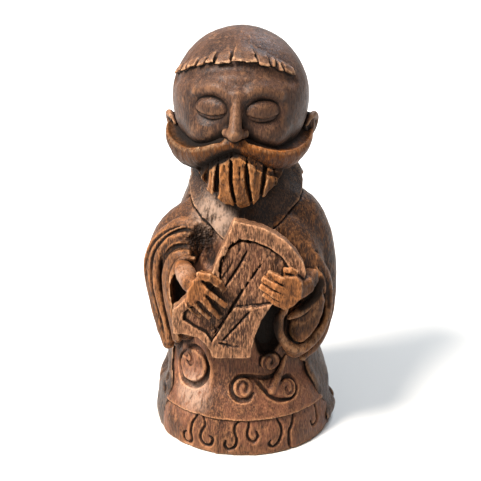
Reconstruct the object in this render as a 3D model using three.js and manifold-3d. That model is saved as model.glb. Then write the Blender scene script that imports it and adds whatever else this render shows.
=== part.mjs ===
// A carved wooden figurine of a bearded harper in a cloak, standing on the round hem of his robe.
// Millimetres, +Z up. The origin is the centre of the round foot, and the figure faces -Y.
// The carving is taken apart along its own carved lines: each garment, limb, feature and
// ornament is one closed solid, seated in its neighbours with a narrow clearance.
import * as THREE from "three";
import { mergeVertices } from "three/addons/utils/BufferGeometryUtils.js";
import Module from "manifold-3d";

const wasm = await Module();
wasm.setup();

// Driving sizes
const CLEARANCE = 0.3;
const FOOT_RADIUS = 39;
const FOOT_CHAMFER = 0.8;
const BAND_HEIGHT = 16.7;
const SKIRT_HEIGHT = 17.3;
const CHEST_HEIGHT = 58;
const NECK_HEIGHT = 31;
const WAIST_HALF_WIDTH = 33.2;
const WAIST_HALF_DEPTH = 32.4;
const CHEST_HALF_WIDTH = 31.5;
const CHEST_HALF_DEPTH = 31.5;
const SHOULDER_HALF_WIDTH = 28;
const SHOULDER_HALF_DEPTH = 27;
const NAPE_HALF_WIDTH = 23.8;
const NAPE_HALF_DEPTH = 22.8;
const NECK_RADIUS = 16.4;
const ROBE_INSET = 0.9;
const ROBE_BACK_Y = -8;
const COLLAR_THICKNESS = 1.8;
const COLLAR_STEP = 0.8;
const COLLAR_POINT_DROP = 6;
const COLLAR_ARM_HALF_WIDTH = 22;
const COLLAR_ARM_RISE = 14;
const COLLAR_HALF_WIDTH = 24.5;
const COLLAR_SIDE_RISE = 21.5;
const COLLAR_BACK_Y = -6;
const GROOVE_RADIUS = 2.2;
const GROOVE_DEPTH = 1.3;
const GROOVE_TOP_DROP = 8;

const HEAD_RADII = new THREE.Vector3(27.6, 26, 28.6);
const HEAD_CENTRE_X = -1.3;
const HEAD_CENTRE_Y = -4;
const HEAD_SINK = 5.5;
const HEAD_TURN_DEG = -4;
const HEAD_LEAN_DEG = 2.5;

const LYRE_HEIGHT = 57;
const LYRE_THICKNESS = 8;
const LYRE_RISE = 41;
const LYRE_FRONT_Y = -40.3;
const LYRE_LEAN_DEG = 6;
const LYRE_PANEL_RECESS = 1.4;
const STRING_GROOVE = 0.55;

const SHOULDER_RISE = 71;

const ROUNDEL_RADIUS = 8.4;
const SPIRAL_RADIUS = 4.4;
const SPIRAL_CORD_RADIUS = 1.5;
const RELIEF_HEIGHT = 1.2;
const FINGER_RADIUS = 1.9;
const ROUND_STEPS = 40;

// Landmarks that the sizes give
const HEM_Z = BAND_HEIGHT;
const WAIST_Z = HEM_Z + SKIRT_HEIGHT;
const SHOULDER_Z = WAIST_Z + CHEST_HEIGHT;
const NECK_Z = SHOULDER_Z + NECK_HEIGHT;
const HEAD_Z = NECK_Z - HEAD_SINK + HEAD_RADII.z;

const rad = THREE.MathUtils.degToRad;
const v3 = (x, y, z) => new THREE.Vector3(x, y, z);

// Wood colours, from the dark stain of the robe to the redder lyre and the rubbed skin
const wood = (color, roughness = 0.45) => new THREE.MeshStandardMaterial({ color, roughness, metalness: 0 });
const ROBE_WOOD = wood(0x5a3a28);
const CLOAK_WOOD = wood(0x4d3427);
const SKIN_WOOD = wood(0x75482b, 0.4);
const HAIR_WOOD = wood(0x6a4024, 0.42);
const LYRE_WOOD = wood(0x70402a, 0.5);

// Solid modelling helpers

// A closed three.js geometry as a solid that can be joined and cut.
function solid(geometry) {
  const bare = new THREE.BufferGeometry().setAttribute("position", geometry.getAttribute("position"));
  bare.setIndex(geometry.index);
  const merged = mergeVertices(bare, 1e-4);
  return new wasm.Manifold(
    new wasm.Mesh({
      numProp: 3,
      vertProperties: merged.attributes.position.array,
      triVerts: new Uint32Array(merged.index.array),
    }),
  );
}

const join = (...parts) => parts.reduce((a, b) => a.add(b));
const cut = (part, ...tools) => tools.reduce((a, b) => a.subtract(b), part);

// The largest body of a solid, without the loose crumbs that a cut can leave.
function mainBody(part) {
  return part.decompose().reduce((a, b) => (b.volume() > a.volume() ? b : a));
}

function meshOf(name, part, material, matrix = new THREE.Matrix4()) {
  const { vertProperties, triVerts, numProp, numVert } = mainBody(part).getMesh();
  const positions = new Float32Array(numVert * 3);
  for (let i = 0; i < numVert; i++) {
    positions.set(vertProperties.subarray(i * numProp, i * numProp + 3), i * 3);
  }
  const geometry = new THREE.BufferGeometry();
  geometry.setAttribute("position", new THREE.BufferAttribute(positions, 3));
  geometry.setIndex(new THREE.BufferAttribute(new Uint32Array(triVerts), 1));
  geometry.computeVertexNormals();
  const mesh = new THREE.Mesh(geometry, material);
  mesh.name = name;
  mesh.applyMatrix4(matrix);
  return mesh;
}

const moved = (part, matrix) => part.transform(matrix.elements);

// A closed skin over a stack of rings that all have the same number of points.
function skin(rings) {
  const sides = rings[0].length;
  const points = rings.flat();
  const indices = [];
  for (let k = 0; k + 1 < rings.length; k++) {
    for (let i = 0; i < sides; i++) {
      const a = k * sides + i;
      const b = k * sides + ((i + 1) % sides);
      indices.push(a, b, b + sides, a, b + sides, a + sides);
    }
  }
  const capCentre = (ring) => ring.reduce((sum, p) => sum.add(p), v3(0, 0, 0)).divideScalar(sides);
  const last = (rings.length - 1) * sides;
  const bottom = points.push(capCentre(rings[0])) - 1;
  const top = points.push(capCentre(rings[rings.length - 1])) - 1;
  for (let i = 0; i < sides; i++) {
    const next = (i + 1) % sides;
    indices.push(bottom, next, i, top, last + i, last + next);
  }
  const geometry = new THREE.BufferGeometry().setFromPoints(points);
  geometry.setIndex(indices);
  return solid(geometry);
}

// A round bar of changing radius along a smooth curve, with rounded ends.
// Stations are [x, y, z, radius]; steps counts the rings between the first and the last.
function bar(stations, grow = 0, steps = 3 * stations.length, sides = 8) {
  const curve = new THREE.CatmullRomCurve3(stations.map(([x, y, z]) => v3(x, y, z)));
  const radii = new THREE.CatmullRomCurve3(stations.map((s, i) => v3(s[3], i, 0)));
  const frames = curve.computeFrenetFrames(steps);
  const ring = (k, shift, share) => {
    const u = k / steps;
    const t = curve.getUtoTmapping(u);
    const radius = radii.getPoint(t).x + grow;
    const centre = curve.getPointAt(u).addScaledVector(frames.tangents[k], shift * radius);
    return Array.from({ length: sides }, (_, i) => {
      const angle = (2 * Math.PI * i) / sides;
      return centre
        .clone()
        .addScaledVector(frames.normals[k], radius * share * Math.cos(angle))
        .addScaledVector(frames.binormals[k], radius * share * Math.sin(angle));
    });
  };
  const dome = (sides > 6 ? [72, 36] : [58]).map(rad);
  const start = dome.map((a) => ring(0, -Math.sin(a), Math.cos(a)));
  const middle = Array.from({ length: steps + 1 }, (_, k) => ring(k, 0, 1));
  const end = dome.toReversed().map((a) => ring(steps, Math.sin(a), Math.cos(a)));
  return skin([...start, ...middle, ...end]);
}

function ball([x, y, z], [rx, ry, rz], grow = 0, turn = new THREE.Euler(), segments = 16) {
  const geometry = new THREE.SphereGeometry(1, segments, Math.round(segments / 2));
  geometry.scale(rx + grow, ry + grow, rz + grow);
  geometry.applyMatrix4(new THREE.Matrix4().makeRotationFromEuler(turn));
  geometry.translate(x, y, z);
  return solid(geometry);
}

// A flat plate with this outline in the XZ plane, from y = front back to y = back, grown all round.
function plateXZ(outline, front, back, grow = 0) {
  const shape = new THREE.Shape(outline.map(([x, z]) => new THREE.Vector2(x, z)));
  const geometry = new THREE.ExtrudeGeometry(shape, {
    depth: back - front,
    bevelEnabled: grow > 0,
    bevelSize: grow,
    bevelThickness: grow,
    bevelSegments: 1,
    curveSegments: 8,
  });
  geometry.rotateX(Math.PI / 2);
  geometry.translate(0, back, 0);
  return solid(geometry);
}

// The body of the figure: an oval trunk that flares to the round foot and closes in at the neck
const half = (a, b) => (a + b) / 2;
const flareHalves = [half(FOOT_RADIUS, WAIST_HALF_WIDTH), half(FOOT_RADIUS, WAIST_HALF_DEPTH)];
const throatHalves = [half(NAPE_HALF_WIDTH, NECK_RADIUS), half(NAPE_HALF_DEPTH, NECK_RADIUS)];
const TRUNK = [
  [0, FOOT_RADIUS - FOOT_CHAMFER, FOOT_RADIUS - FOOT_CHAMFER],
  [FOOT_CHAMFER, FOOT_RADIUS, FOOT_RADIUS],
  [HEM_Z / 2, FOOT_RADIUS + 0.3, FOOT_RADIUS + 0.3],
  [HEM_Z, FOOT_RADIUS - 1, FOOT_RADIUS - 1],
  [HEM_Z + SKIRT_HEIGHT / 2, ...flareHalves],
  [WAIST_Z, WAIST_HALF_WIDTH, WAIST_HALF_DEPTH],
  [WAIST_Z + CHEST_HEIGHT / 2, CHEST_HALF_WIDTH + 1.5, CHEST_HALF_DEPTH + 0.8],
  [SHOULDER_Z - CHEST_HEIGHT / 6, CHEST_HALF_WIDTH, CHEST_HALF_DEPTH],
  [SHOULDER_Z, SHOULDER_HALF_WIDTH, SHOULDER_HALF_DEPTH],
  [SHOULDER_Z + NECK_HEIGHT / 2, NAPE_HALF_WIDTH, NAPE_HALF_DEPTH],
  [SHOULDER_Z + NECK_HEIGHT * 0.8, ...throatHalves],
  [NECK_Z, NECK_RADIUS, NECK_RADIUS],
];

// Half width and half depth of the trunk at a height.
function trunkAt(z) {
  const last = TRUNK.length - 1;
  const k = Math.min(last - 1, Math.max(0, TRUNK.findIndex((s) => s[0] > z) - 1));
  const i = z >= TRUNK[last][0] ? last - 1 : k;
  const [before, from, to, after] = [i - 1, i, i + 1, i + 2].map((j) => TRUNK[Math.min(last, Math.max(0, j))]);
  const t = THREE.MathUtils.clamp((z - from[0]) / (to[0] - from[0]), 0, 1);
  const smooth = (c) => {
    const inSlope = ((to[c] - before[c]) / Math.max(to[0] - before[0], 1)) * (to[0] - from[0]);
    const outSlope = ((after[c] - from[c]) / Math.max(after[0] - from[0], 1)) * (to[0] - from[0]);
    const [t2, t3] = [t * t, t * t * t];
    const places = (2 * t3 - 3 * t2 + 1) * from[c] + (3 * t2 - 2 * t3) * to[c];
    const slopes = (t3 - 2 * t2 + t) * inSlope + (t3 - t2) * outSlope;
    return places + slopes;
  };
  const straight = (c) => THREE.MathUtils.lerp(from[c], to[c], t);
  return i === 0 ? [straight(1), straight(2)] : [smooth(1), smooth(2)];
}

// A point on or off the trunk: degrees round from the front towards the figure's left, height, distance out.
function onTrunk(degrees, z, out = 0) {
  const [a, b] = trunkAt(z);
  const angle = rad(degrees);
  const radius = 1 / Math.hypot(Math.sin(angle) / a, Math.cos(angle) / b) + out;
  return v3(radius * Math.sin(angle), -radius * Math.cos(angle), z);
}

function trunk(grow, from = 0, to = NECK_Z) {
  const levels = [from];
  for (const [z] of TRUNK) {
    if (z > from + 0.1 && z < to - 0.1) levels.push(z);
  }
  for (let k = 3; k + 1 < TRUNK.length; k++) {
    const middle = (TRUNK[k][0] + TRUNK[k + 1][0]) / 2;
    if (middle > from + 1 && middle < to - 1) levels.push(middle);
  }
  levels.push(to);
  levels.sort((a, b) => a - b);
  return skin(
    levels.map((z) =>
      Array.from({ length: ROUND_STEPS }, (_, i) => {
        const [a, b] = trunkAt(z);
        const angle = (2 * Math.PI * i) / ROUND_STEPS;
        return v3((a + grow) * Math.cos(angle), (b + grow) * Math.sin(angle), z);
      }),
    ),
  );
}

// The front opening of the cloak, seen from the front: the robe shows through it.
function cloakOpening(grow, from, to) {
  const leftEdge = [
    [FOOT_RADIUS * 0.92, 0],
    [FOOT_RADIUS * 0.88, HEM_Z * 0.5],
    [FOOT_RADIUS * 0.8, HEM_Z + 1],
    [FOOT_RADIUS * 0.72, HEM_Z + SKIRT_HEIGHT * 0.45],
    [WAIST_HALF_WIDTH * 0.74, WAIST_Z],
    [WAIST_HALF_WIDTH * 0.72, NECK_Z],
  ];
  const rightEdge = [
    [-WAIST_HALF_WIDTH * 0.72, NECK_Z],
    [-WAIST_HALF_WIDTH * 0.86, WAIST_Z + 6],
    [-FOOT_RADIUS * 0.76, HEM_Z + 3],
    [-FOOT_RADIUS * 0.8, 0],
  ];
  const reach = 2 * FOOT_RADIUS;
  const window = plateXZ([...leftEdge, ...rightEdge], -reach, ROBE_BACK_Y, grow);
  const slab = plateXZ([[-reach, from], [reach, from], [reach, to], [-reach, to]], -reach, reach);
  return window.intersect(slab);
}

// The space over the cowl's edge: a V at the front, whose arms turn up to the level edge round the back.
function aboveCollarEdge(grow) {
  const reach = 2 * FOOT_RADIUS;
  const top = NECK_Z + reach;
  const point = SHOULDER_Z - COLLAR_POINT_DROP - grow;
  const arm = SHOULDER_Z + COLLAR_ARM_RISE - grow;
  const level = SHOULDER_Z + COLLAR_SIDE_RISE - grow;
  const front = [
    [0, point],
    [COLLAR_ARM_HALF_WIDTH + grow, arm],
    [COLLAR_HALF_WIDTH + grow, level],
    [COLLAR_HALF_WIDTH + grow, top],
    [-COLLAR_HALF_WIDTH - grow, top],
    [-COLLAR_HALF_WIDTH - grow, level],
    [-COLLAR_ARM_HALF_WIDTH - grow, arm],
  ];
  const round = [[-reach, level], [reach, level], [reach, top], [-reach, top]];
  return join(plateXZ(front, -reach, COLLAR_BACK_Y + grow), plateXZ(round, -reach, reach));
}

// The shallow grooves that part the back of the cloak into broad folds. They open towards the hem.
// Each is [degrees round the hem, lean on the way up].
const CLOAK_GROOVES = [[92, 4], [116, 7], [141, 4], [171, 1], [199, -3], [224, -6], [250, -6], [274, -3]];
const cloakGroove = ([degrees, lean]) => {
  const stations = [0, 0.2, 0.4, 0.6, 0.8, 1].map((share) => {
    const z = share * (SHOULDER_Z - GROOVE_TOP_DROP);
    const narrowing = 1 - 0.75 * share ** 1.5;
    return [...onTrunk(degrees + lean * share, z, GROOVE_RADIUS - GROOVE_DEPTH), GROOVE_RADIUS * narrowing];
  });
  return bar(stations, 0, 8, 6);
};

// The head and its features, in the head's own frame: its origin is the middle of the skull
const headTurn = new THREE.Euler(0, rad(HEAD_LEAN_DEG), rad(HEAD_TURN_DEG));
const headMatrix = new THREE.Matrix4()
  .makeTranslation(HEAD_CENTRE_X, HEAD_CENTRE_Y, HEAD_Z)
  .multiply(new THREE.Matrix4().makeRotationFromEuler(headTurn));

// A point on the skull: degrees round from the face, height over the middle, distance out.
function onHead(degrees, z, out = 0) {
  const level = Math.sqrt(Math.max(0.02, 1 - (z / HEAD_RADII.z) ** 2));
  const angle = rad(degrees);
  const radius = level / Math.hypot(Math.sin(angle) / HEAD_RADII.x, Math.cos(angle) / HEAD_RADII.y) + out;
  return [radius * Math.sin(angle), -radius * Math.cos(angle), z];
}

const EYE_LINE = 0;
const EYE_SPACING_DEG = 24;
const NOSE_BASE = EYE_LINE - HEAD_RADII.z * 0.33;
const BROW_LINE = EYE_LINE + HEAD_RADII.z * 0.19;
const FRINGE_LINE = EYE_LINE + HEAD_RADII.z * 0.51;

const noseForm = (grow = 0) => {
  const bridge = [
    [...onHead(0, BROW_LINE, 0.2), 2.2],
    [...onHead(0, EYE_LINE, 2), 2.1],
    [...onHead(0, NOSE_BASE + 1.5, 6.6), 3.3],
  ];
  const wings = [
    [...onHead(-7.5, NOSE_BASE + 0.6, 2.2), 2.1],
    [...onHead(0, NOSE_BASE + 1, 5), 2.7],
    [...onHead(7.5, NOSE_BASE + 0.6, 2.2), 2.1],
  ];
  return join(bar(bridge, grow, 4), bar(wings, grow, 4));
};

const eyeForm = (side, grow = 0) => {
  const [x, y, z] = onHead(side * EYE_SPACING_DEG, EYE_LINE, -1.6);
  return ball([x, y, z], [6.2, 3, 3.4], grow, new THREE.Euler(0, 0, rad(side * EYE_SPACING_DEG)));
};

// The ears sit low, on the ends of the moustache. For each side: its foot's height over the nose's base.
const EAR_FEET = new Map([[-1, -6.6], [1, -3.8]]);
const EAR_HEIGHT = 9;
const earForm = (side, grow = 0) => {
  const foot = NOSE_BASE + EAR_FEET.get(side);
  const rim = [
    [...onHead(side * 96, foot, 2.4), 1.6],
    [...onHead(side * 103, foot + EAR_HEIGHT * 0.35, 3.4), 1.6],
    [...onHead(side * 104, foot + EAR_HEIGHT * 0.75, 3.6), 1.6],
    [...onHead(side * 97, foot + EAR_HEIGHT, 2.8), 1.5],
    [...onHead(side * 89, foot + EAR_HEIGHT * 0.85, 1.4), 1.3],
  ];
  const middle = onHead(side * 97, foot + EAR_HEIGHT * 0.5, 0.6);
  const shell = ball(middle, [2.6, 4.4, 5], grow, new THREE.Euler(), 12);
  return join(bar(rim, grow, 7, 6), shell);
};

// The fringe: a row of short locks that arches across the forehead, from temple to temple.
const FRINGE_LOCKS = 13;
const FRINGE_SPAN_DEG = 136;
const fringeForm = (grow = 0) => {
  const locks = Array.from({ length: FRINGE_LOCKS }, (_, i) => {
    const degrees = (i / (FRINGE_LOCKS - 1) - 0.5) * FRINGE_SPAN_DEG;
    const foot = FRINGE_LINE - 6 + 10 * Math.cos(rad(degrees * 1.15));
    return bar([[...onHead(degrees, foot + 2.6, -1), 3], [...onHead(degrees, foot, -0.4), 2.7]], grow, 1, 6);
  });
  return join(...locks);
};

// One half of the moustache: it falls from the nose, swells over the cheek and curls up to the ear.
// Its top is gouged to a ledge along the cheek. Stations are degrees, height over the nose's base, out, radius.
const MOUSTACHE_LEDGE_SHARE = 0.95;
const LOBES = new Map([
  [
    -1,
    [
      [4, -2.3, 4.3, 2.9], [15, -4.9, 4, 3.9], [30, -8.4, 3.8, 5.2], [47, -11, 3.5, 5.9],
      [64, -10.8, 3.3, 5.7], [80, -8, 3.3, 4.6], [91, -5, 3.4, 2.8],
    ],
  ],
  [
    1,
    [
      [4, -2.3, 4.3, 2.9], [15, -4.6, 3.9, 3.9], [31, -7.8, 3.5, 5.2], [50, -9.8, 3, 5.7],
      [67, -9, 2.8, 5.2], [82, -6.2, 2.7, 4.1], [93, -3.6, 2.6, 2.6],
    ],
  ],
]);

const moustacheForm = (side, grow = 0) => {
  const stations = LOBES.get(side);
  const lobe = stations.map(([degrees, z, out, r]) => [...onHead(side * degrees, NOSE_BASE + z, out), r]);
  const ledge = stations.slice(1).map(([degrees, z, out, r]) => {
    return [...onHead(side * degrees, NOSE_BASE + z + r * 1.5, out - 0.9), r * MOUSTACHE_LEDGE_SHARE];
  });
  return cut(bar(lobe, grow, 10, 8), bar(ledge, -grow, 9, 8));
};

// The beard: a bib under the moustache that narrows to a blunt point, with deep grooves between its locks.
const BEARD_LENGTH = HEAD_RADII.z * 0.77;
const BEARD_TOP = NOSE_BASE - 6.4;
const BEARD_HALF_WIDTH = HEAD_RADII.x * 0.725;
const BEARD_LOCKS = 8;
const BEARD_SIDES = 24;
const BEARD_GROOVE_RADIUS = 1.4;

// Stations down the beard: share of its length, share of its width, depth, and how far back its middle lies.
const BEARD_STATIONS = [
  [0, 0.86, 12, 9],
  [0.35, 1, 14, 10.4],
  [0.62, 0.86, 13, 9],
  [0.82, 0.62, 10, 6.2],
  [0.94, 0.36, 6, 2.4],
  [1, 0.14, 2.6, -1],
];

// A point on the beard: an angle round the station's oval, where -90 degrees is its front.
function onBeard([share, width, depth, back], degrees, grow = 0) {
  const endGrow = share === 1 ? -grow : share === 0 ? grow : 0;
  const x = (BEARD_HALF_WIDTH * width + grow) * Math.cos(rad(degrees));
  const y = back - HEAD_RADII.y + (depth + grow) * Math.sin(rad(degrees));
  return v3(x, y, BEARD_TOP - share * BEARD_LENGTH + endGrow);
}

const beardForm = (grow = 0) => {
  const ring = (station) =>
    Array.from({ length: BEARD_SIDES }, (_, i) => onBeard(station, (360 * i) / BEARD_SIDES, grow));
  return skin(BEARD_STATIONS.map(ring).toReversed());
};

// The groove between two locks runs down the beard's front and out at its lower edge.
const beardGrooves = Array.from({ length: BEARD_LOCKS - 1 }, (_, i) => {
  const across = (2 * (i + 1)) / BEARD_LOCKS - 1;
  const degrees = -THREE.MathUtils.radToDeg(Math.acos(across));
  const narrowing = [0.5, 0.8, 1, 1];
  const stations = BEARD_STATIONS.slice(1, 5).map((station, k) => {
    return [...onBeard(station, degrees), BEARD_GROOVE_RADIUS * narrowing[k]];
  });
  return bar(stations, 0, 4, 6);
});

const skull = (grow = 0) => ball([0, 0, 0], HEAD_RADII.toArray(), grow, new THREE.Euler(), 24);
const eyeSocket = (side) => {
  const [x, y, z] = onHead(side * EYE_SPACING_DEG, EYE_LINE + 0.5, 2.6);
  return ball([x, y, z], [9, 4.8, 6.8], 0, new THREE.Euler(0, 0, rad(side * EYE_SPACING_DEG)));
};

const SIDES = [["right", -1], ["left", 1]];
const head = new THREE.Group();
head.applyMatrix4(headMatrix);

const headSolid = cut(
  skull(),
  eyeSocket(-1),
  eyeSocket(1),
  noseForm(CLEARANCE),
  fringeForm(CLEARANCE),
  beardForm(CLEARANCE),
  ...[eyeForm, earForm, moustacheForm].flatMap((form) => [form(-1, CLEARANCE), form(1, CLEARANCE)]),
);
head.add(meshOf("head", headSolid, SKIN_WOOD));
const noseCuts = [moustacheForm(-1, CLEARANCE), moustacheForm(1, CLEARANCE)];
head.add(meshOf("nose", cut(noseForm(), ...noseCuts), SKIN_WOOD));
head.add(meshOf("hair_fringe", fringeForm(), HAIR_WOOD));
for (const [name, side] of SIDES) {
  const eyelidLine = [-1, 0, 1].map((k) => {
    const dip = 0.6 + 0.5 * (1 - k * k);
    return [...onHead(side * (EYE_SPACING_DEG + 10 * k), EYE_LINE - dip, 1.2), 0.45];
  });
  head.add(meshOf(`${name}_eye`, cut(eyeForm(side), bar(eyelidLine, 0, 6, 6), noseForm(CLEARANCE)), SKIN_WOOD));
  head.add(meshOf(`${name}_ear`, cut(earForm(side), moustacheForm(side, CLEARANCE)), SKIN_WOOD));
}
head.add(meshOf("right_moustache", moustacheForm(-1), HAIR_WOOD));
head.add(meshOf("left_moustache", cut(moustacheForm(1), moustacheForm(-1, CLEARANCE)), HAIR_WOOD));
const bothMoustaches = [moustacheForm(-1, CLEARANCE), moustacheForm(1, CLEARANCE)];
head.add(meshOf("beard", cut(beardForm(), ...beardGrooves, ...bothMoustaches, noseForm(CLEARANCE)), HAIR_WOOD));

// The lyre, in its own frame: x across, z up its face, and its front face at y = 0
const LYRE_CENTRE_Z = WAIST_Z + LYRE_RISE;
const lyreMatrix = new THREE.Matrix4()
  .makeTranslation(0, LYRE_FRONT_Y, LYRE_CENTRE_Z)
  .multiply(new THREE.Matrix4().makeRotationX(rad(-LYRE_LEAN_DEG)));

// It is drawn freely about its middle, and brought to its height by lyreScale.
const LYRE_OUTLINE = [
  [-4, 29.8], [1.8, 28.6], [7.6, 26.8], [12.4, 24.4], [16.8, 21.2], [20.5, 17], [23.4, 12.6], [24.6, 8.5],
  [23, 3.5], [17, -0.5], [11, -5], [6.8, -11.2], [4.4, -17.5], [3.3, -23], [2.8, -27.2], [-12.8, -27.2],
  [-13.6, -24.6], [-15.4, -21.4], [-18.8, -18.4], [-23, -17.2], [-28.6, -16.8], [-29, -11.5], [-28.4, -6.6],
  [-20.5, 0.8], [-13.2, 7.8], [-11.2, 13.4], [-8.6, 19.6],
];
const LYRE_PANEL = [
  [-1.2, 22.6], [4.8, 21.4], [10.6, 18.6], [15.4, 14.4], [18.4, 9.2], [17.6, 5], [12.6, 0.4], [7.6, -4.6],
  [2.6, -11.2], [0.4, -17.4], [-0.6, -22.2], [-9.6, -22.4], [-11.8, -19.4], [-15.6, -15.2], [-20.2, -12.8],
  [-24.4, -10.6], [-24, -8], [-16.8, -1.6], [-9.8, 5.4], [-8.6, 11.6], [-5.6, 18.4],
];
const STRINGS = [
  [[1.2, 17.4], [-13.6, -8]],
  [[11, 16.6], [-11.4, -16.4]],
  [[15.4, 10.6], [-6.4, -19.6]],
  [[-3.4, 15.2], [-18.4, -9.2]],
];

const lyreHeights = LYRE_OUTLINE.map(([, z]) => z);
const lyreScale = LYRE_HEIGHT / (Math.max(...lyreHeights) - Math.min(...lyreHeights));
const toLyre = (rows) => rows.map((row) => row.map((number) => number * lyreScale));
const PANEL_BACK = LYRE_THICKNESS * 0.75;

const lyreForm = (grow = 0) => plateXZ(toLyre(LYRE_OUTLINE), 0, LYRE_THICKNESS, grow);
const panelForm = (grow = 0) => plateXZ(toLyre(LYRE_PANEL), LYRE_PANEL_RECESS, PANEL_BACK, grow);
const panelPocket = plateXZ(toLyre(LYRE_PANEL), -CLEARANCE, PANEL_BACK, CLEARANCE);
const stringGrooves = STRINGS.map((ends) =>
  bar(toLyre(ends).map(([x, z]) => [x, LYRE_PANEL_RECESS, z, STRING_GROOVE]), 0, 2, 6),
);
const lyre = new THREE.Group();
lyre.applyMatrix4(lyreMatrix);
lyre.add(meshOf("lyre_frame", cut(lyreForm(), panelPocket), LYRE_WOOD));
lyre.add(meshOf("lyre_soundboard", cut(panelForm(), ...stringGrooves), LYRE_WOOD));

// The hands, laid on the front of the lyre and drawn at its scale. Stations run from knuckle to tip.
function fingers(rows, grow) {
  const placed = ([x, z, out, share]) => [...[x, -out, z].map((n) => n * lyreScale), FINGER_RADIUS * share];
  return rows.map((stations) => bar(stations.map(placed), grow, 3, 6));
}

// The back of each hand is a flat block with this outline.
const RIGHT_BACK = [
  [-21.6, 10.6], [-16.6, 10.8], [-14.6, 8], [-15, 4.6], [-14, 2.6],
  [-16, -1], [-18.4, -1.4], [-20.6, -3.4], [-23.4, -1.6], [-22.6, 5.2],
];
const LEFT_BACK = [
  [15.6, 9.4], [20.4, 9], [22.9, 6.1], [22.6, 0], [19, -3.6],
  [16.4, -4.9], [13.4, -2.6], [13.4, 1], [14.8, 4.6],
];
const HAND_DEPTH = 6.2;
const handBack = (outline, grow) => plateXZ(toLyre(outline), -HAND_DEPTH * lyreScale, 0, grow);
const wrist = (stations, grow) => bar(toLyre(stations), grow, 3, 8);

const rightHandForm = (grow = 0) =>
  join(
    handBack(RIGHT_BACK, grow),
    wrist([[-25, 9, 11.4, 4.6], [-23, 3.4, 9.6, 5], [-20.8, -1.4, 6.6, 4.6]], grow),
    ...fingers(
      [
        [[-17.8, 8.8, 4.2, 1.1], [-13.6, 8.6, 4.8, 1.1], [-10.2, 6, 4.2, 0.95], [-8.4, 2.6, 2.8, 0.7]],
        [[-17.7, 5.4, 4.4, 0.8], [-14.7, 3, 5.4, 0.85], [-11.1, -0.2, 4.8, 0.8], [-7.4, -4, 2.8, 0.7]],
        [[-18, 2.6, 4.6, 0.9], [-15.9, -0.4, 5.4, 0.9], [-13, -4.3, 4.6, 0.85], [-10, -8.4, 2.6, 0.7]],
        [[-20.6, 0, 4.2, 0.65], [-19.4, -2.6, 5, 0.65], [-16.9, -5.7, 4.2, 0.6], [-14, -9.1, 2.6, 0.5]],
        [[-23, -0.8, 3.6, 0.6], [-22.4, -3.4, 4.2, 0.6], [-20.1, -6, 3.6, 0.55], [-17.5, -8.4, 2.4, 0.45]],
      ],
      grow,
    ),
  );

const leftHandForm = (grow = 0) =>
  join(
    handBack(LEFT_BACK, grow),
    wrist([[29.4, 10, 7.4, 4], [26.4, 2, 4.8, 4.4], [22, -1, 3, 4.2]], grow),
    ...fingers(
      [
        [[20.4, 9.6, 3.2, 0.8], [18, 11, 3.8, 0.75], [15.8, 10.8, 3, 0.6]],
        [[19.6, 5.2, 4.6, 0.85], [14.4, 7.6, 5.4, 0.83], [9.6, 9.6, 3, 0.65]],
        [[17.4, 2.2, 5.2, 0.8], [12.2, 5, 5.8, 0.82], [7.5, 7.4, 3.2, 0.65]],
        [[16.2, -0.8, 5.2, 0.8], [11, 2, 5.6, 0.8], [6.8, 4.4, 3.1, 0.65]],
        [[15.6, -3.4, 4.6, 0.76], [11.4, -1.2, 4.8, 0.76], [8, 0.9, 2.8, 0.6]],
      ],
      grow,
    ),
  );
lyre.add(meshOf("right_hand", cut(rightHandForm(), lyreForm(CLEARANCE)), SKIN_WOOD));
lyre.add(meshOf("left_hand", cut(leftHandForm(), lyreForm(CLEARANCE)), SKIN_WOOD));

// The sleeves hang from the shoulders in nested folds, drawn freely and brought to size by sleeveScale.
// Stations are degrees, height over the waist, distance out, radius. The first is the middle of the shoulder.
const RIGHT_SLEEVE_FOLDS = [
  [
    [-46, 71, -3.4, 9], [-64, 60, -1, 9.4], [-73, 46, 0.4, 9.4],
    [-71, 30, 0.8, 8.4], [-64, 17, 0.4, 6.4], [-57, 9, 0, 4],
  ],
  [
    [-44, 68, 2, 3.4], [-58, 61, 5, 3.2], [-67, 53, 7, 3.2],
    [-71, 42, 8.2, 3.2], [-68, 26, 7, 3.2], [-60, 12, 4.8, 3.2],
  ],
  [
    [-33, 62, 4.4, 3], [-46, 58, 6.6, 3], [-54, 53, 7.8, 3],
    [-58, 42, 7.6, 3], [-57, 29, 7, 3], [-51, 15, 5.6, 3],
  ],
  [[-42, 64, 1, 6], [-54, 48, 3.4, 6.4], [-55, 34, 3.4, 6.4], [-52, 20, 2.6, 5]],
];
const RIGHT_CUFF_FOLDS = [
  [
    [-33, 53, 5.6, 2.4], [-38, 52, 7, 2.6], [-43, 48, 8.4, 2.7],
    [-46, 41, 8.6, 2.7], [-46, 31, 7.8, 2.6], [-44, 20, 6.2, 2.4],
  ],
];
const LEFT_SLEEVE_FOLDS = [
  [
    [44, 71, -3.4, 9], [62, 60, -2, 9.4], [72, 48, -0.6, 9.4],
    [72, 34, 0, 8.6], [66, 20, -0.6, 7], [56, 10, -1, 4.6],
  ],
  [
    [68, 53, 1.4, 3.4], [74, 44, 4, 3.2], [74, 32, 5, 3.2],
    [69, 20, 4.8, 3.2], [60, 10, 2.4, 3.2], [47, 5, 0.4, 3],
  ],
  [
    [34, 53, 7, 4], [44, 47, 6.8, 3.6], [53, 38, 6.4, 3.2], [54, 26, 6.4, 3],
    [47, 16, 5.4, 3], [36, 12, 4, 3], [26, 18, 2.2, 2.8], [22, 30, 2, 2.8],
  ],
  [[42, 62, 0, 6], [52, 46, 2, 7], [55, 32, 2, 6.4], [48, 20, 0.6, 5]],
  [[38, 52, 1, 6], [39, 38, 0.6, 6], [35, 22, -0.4, 5]],
];
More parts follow.
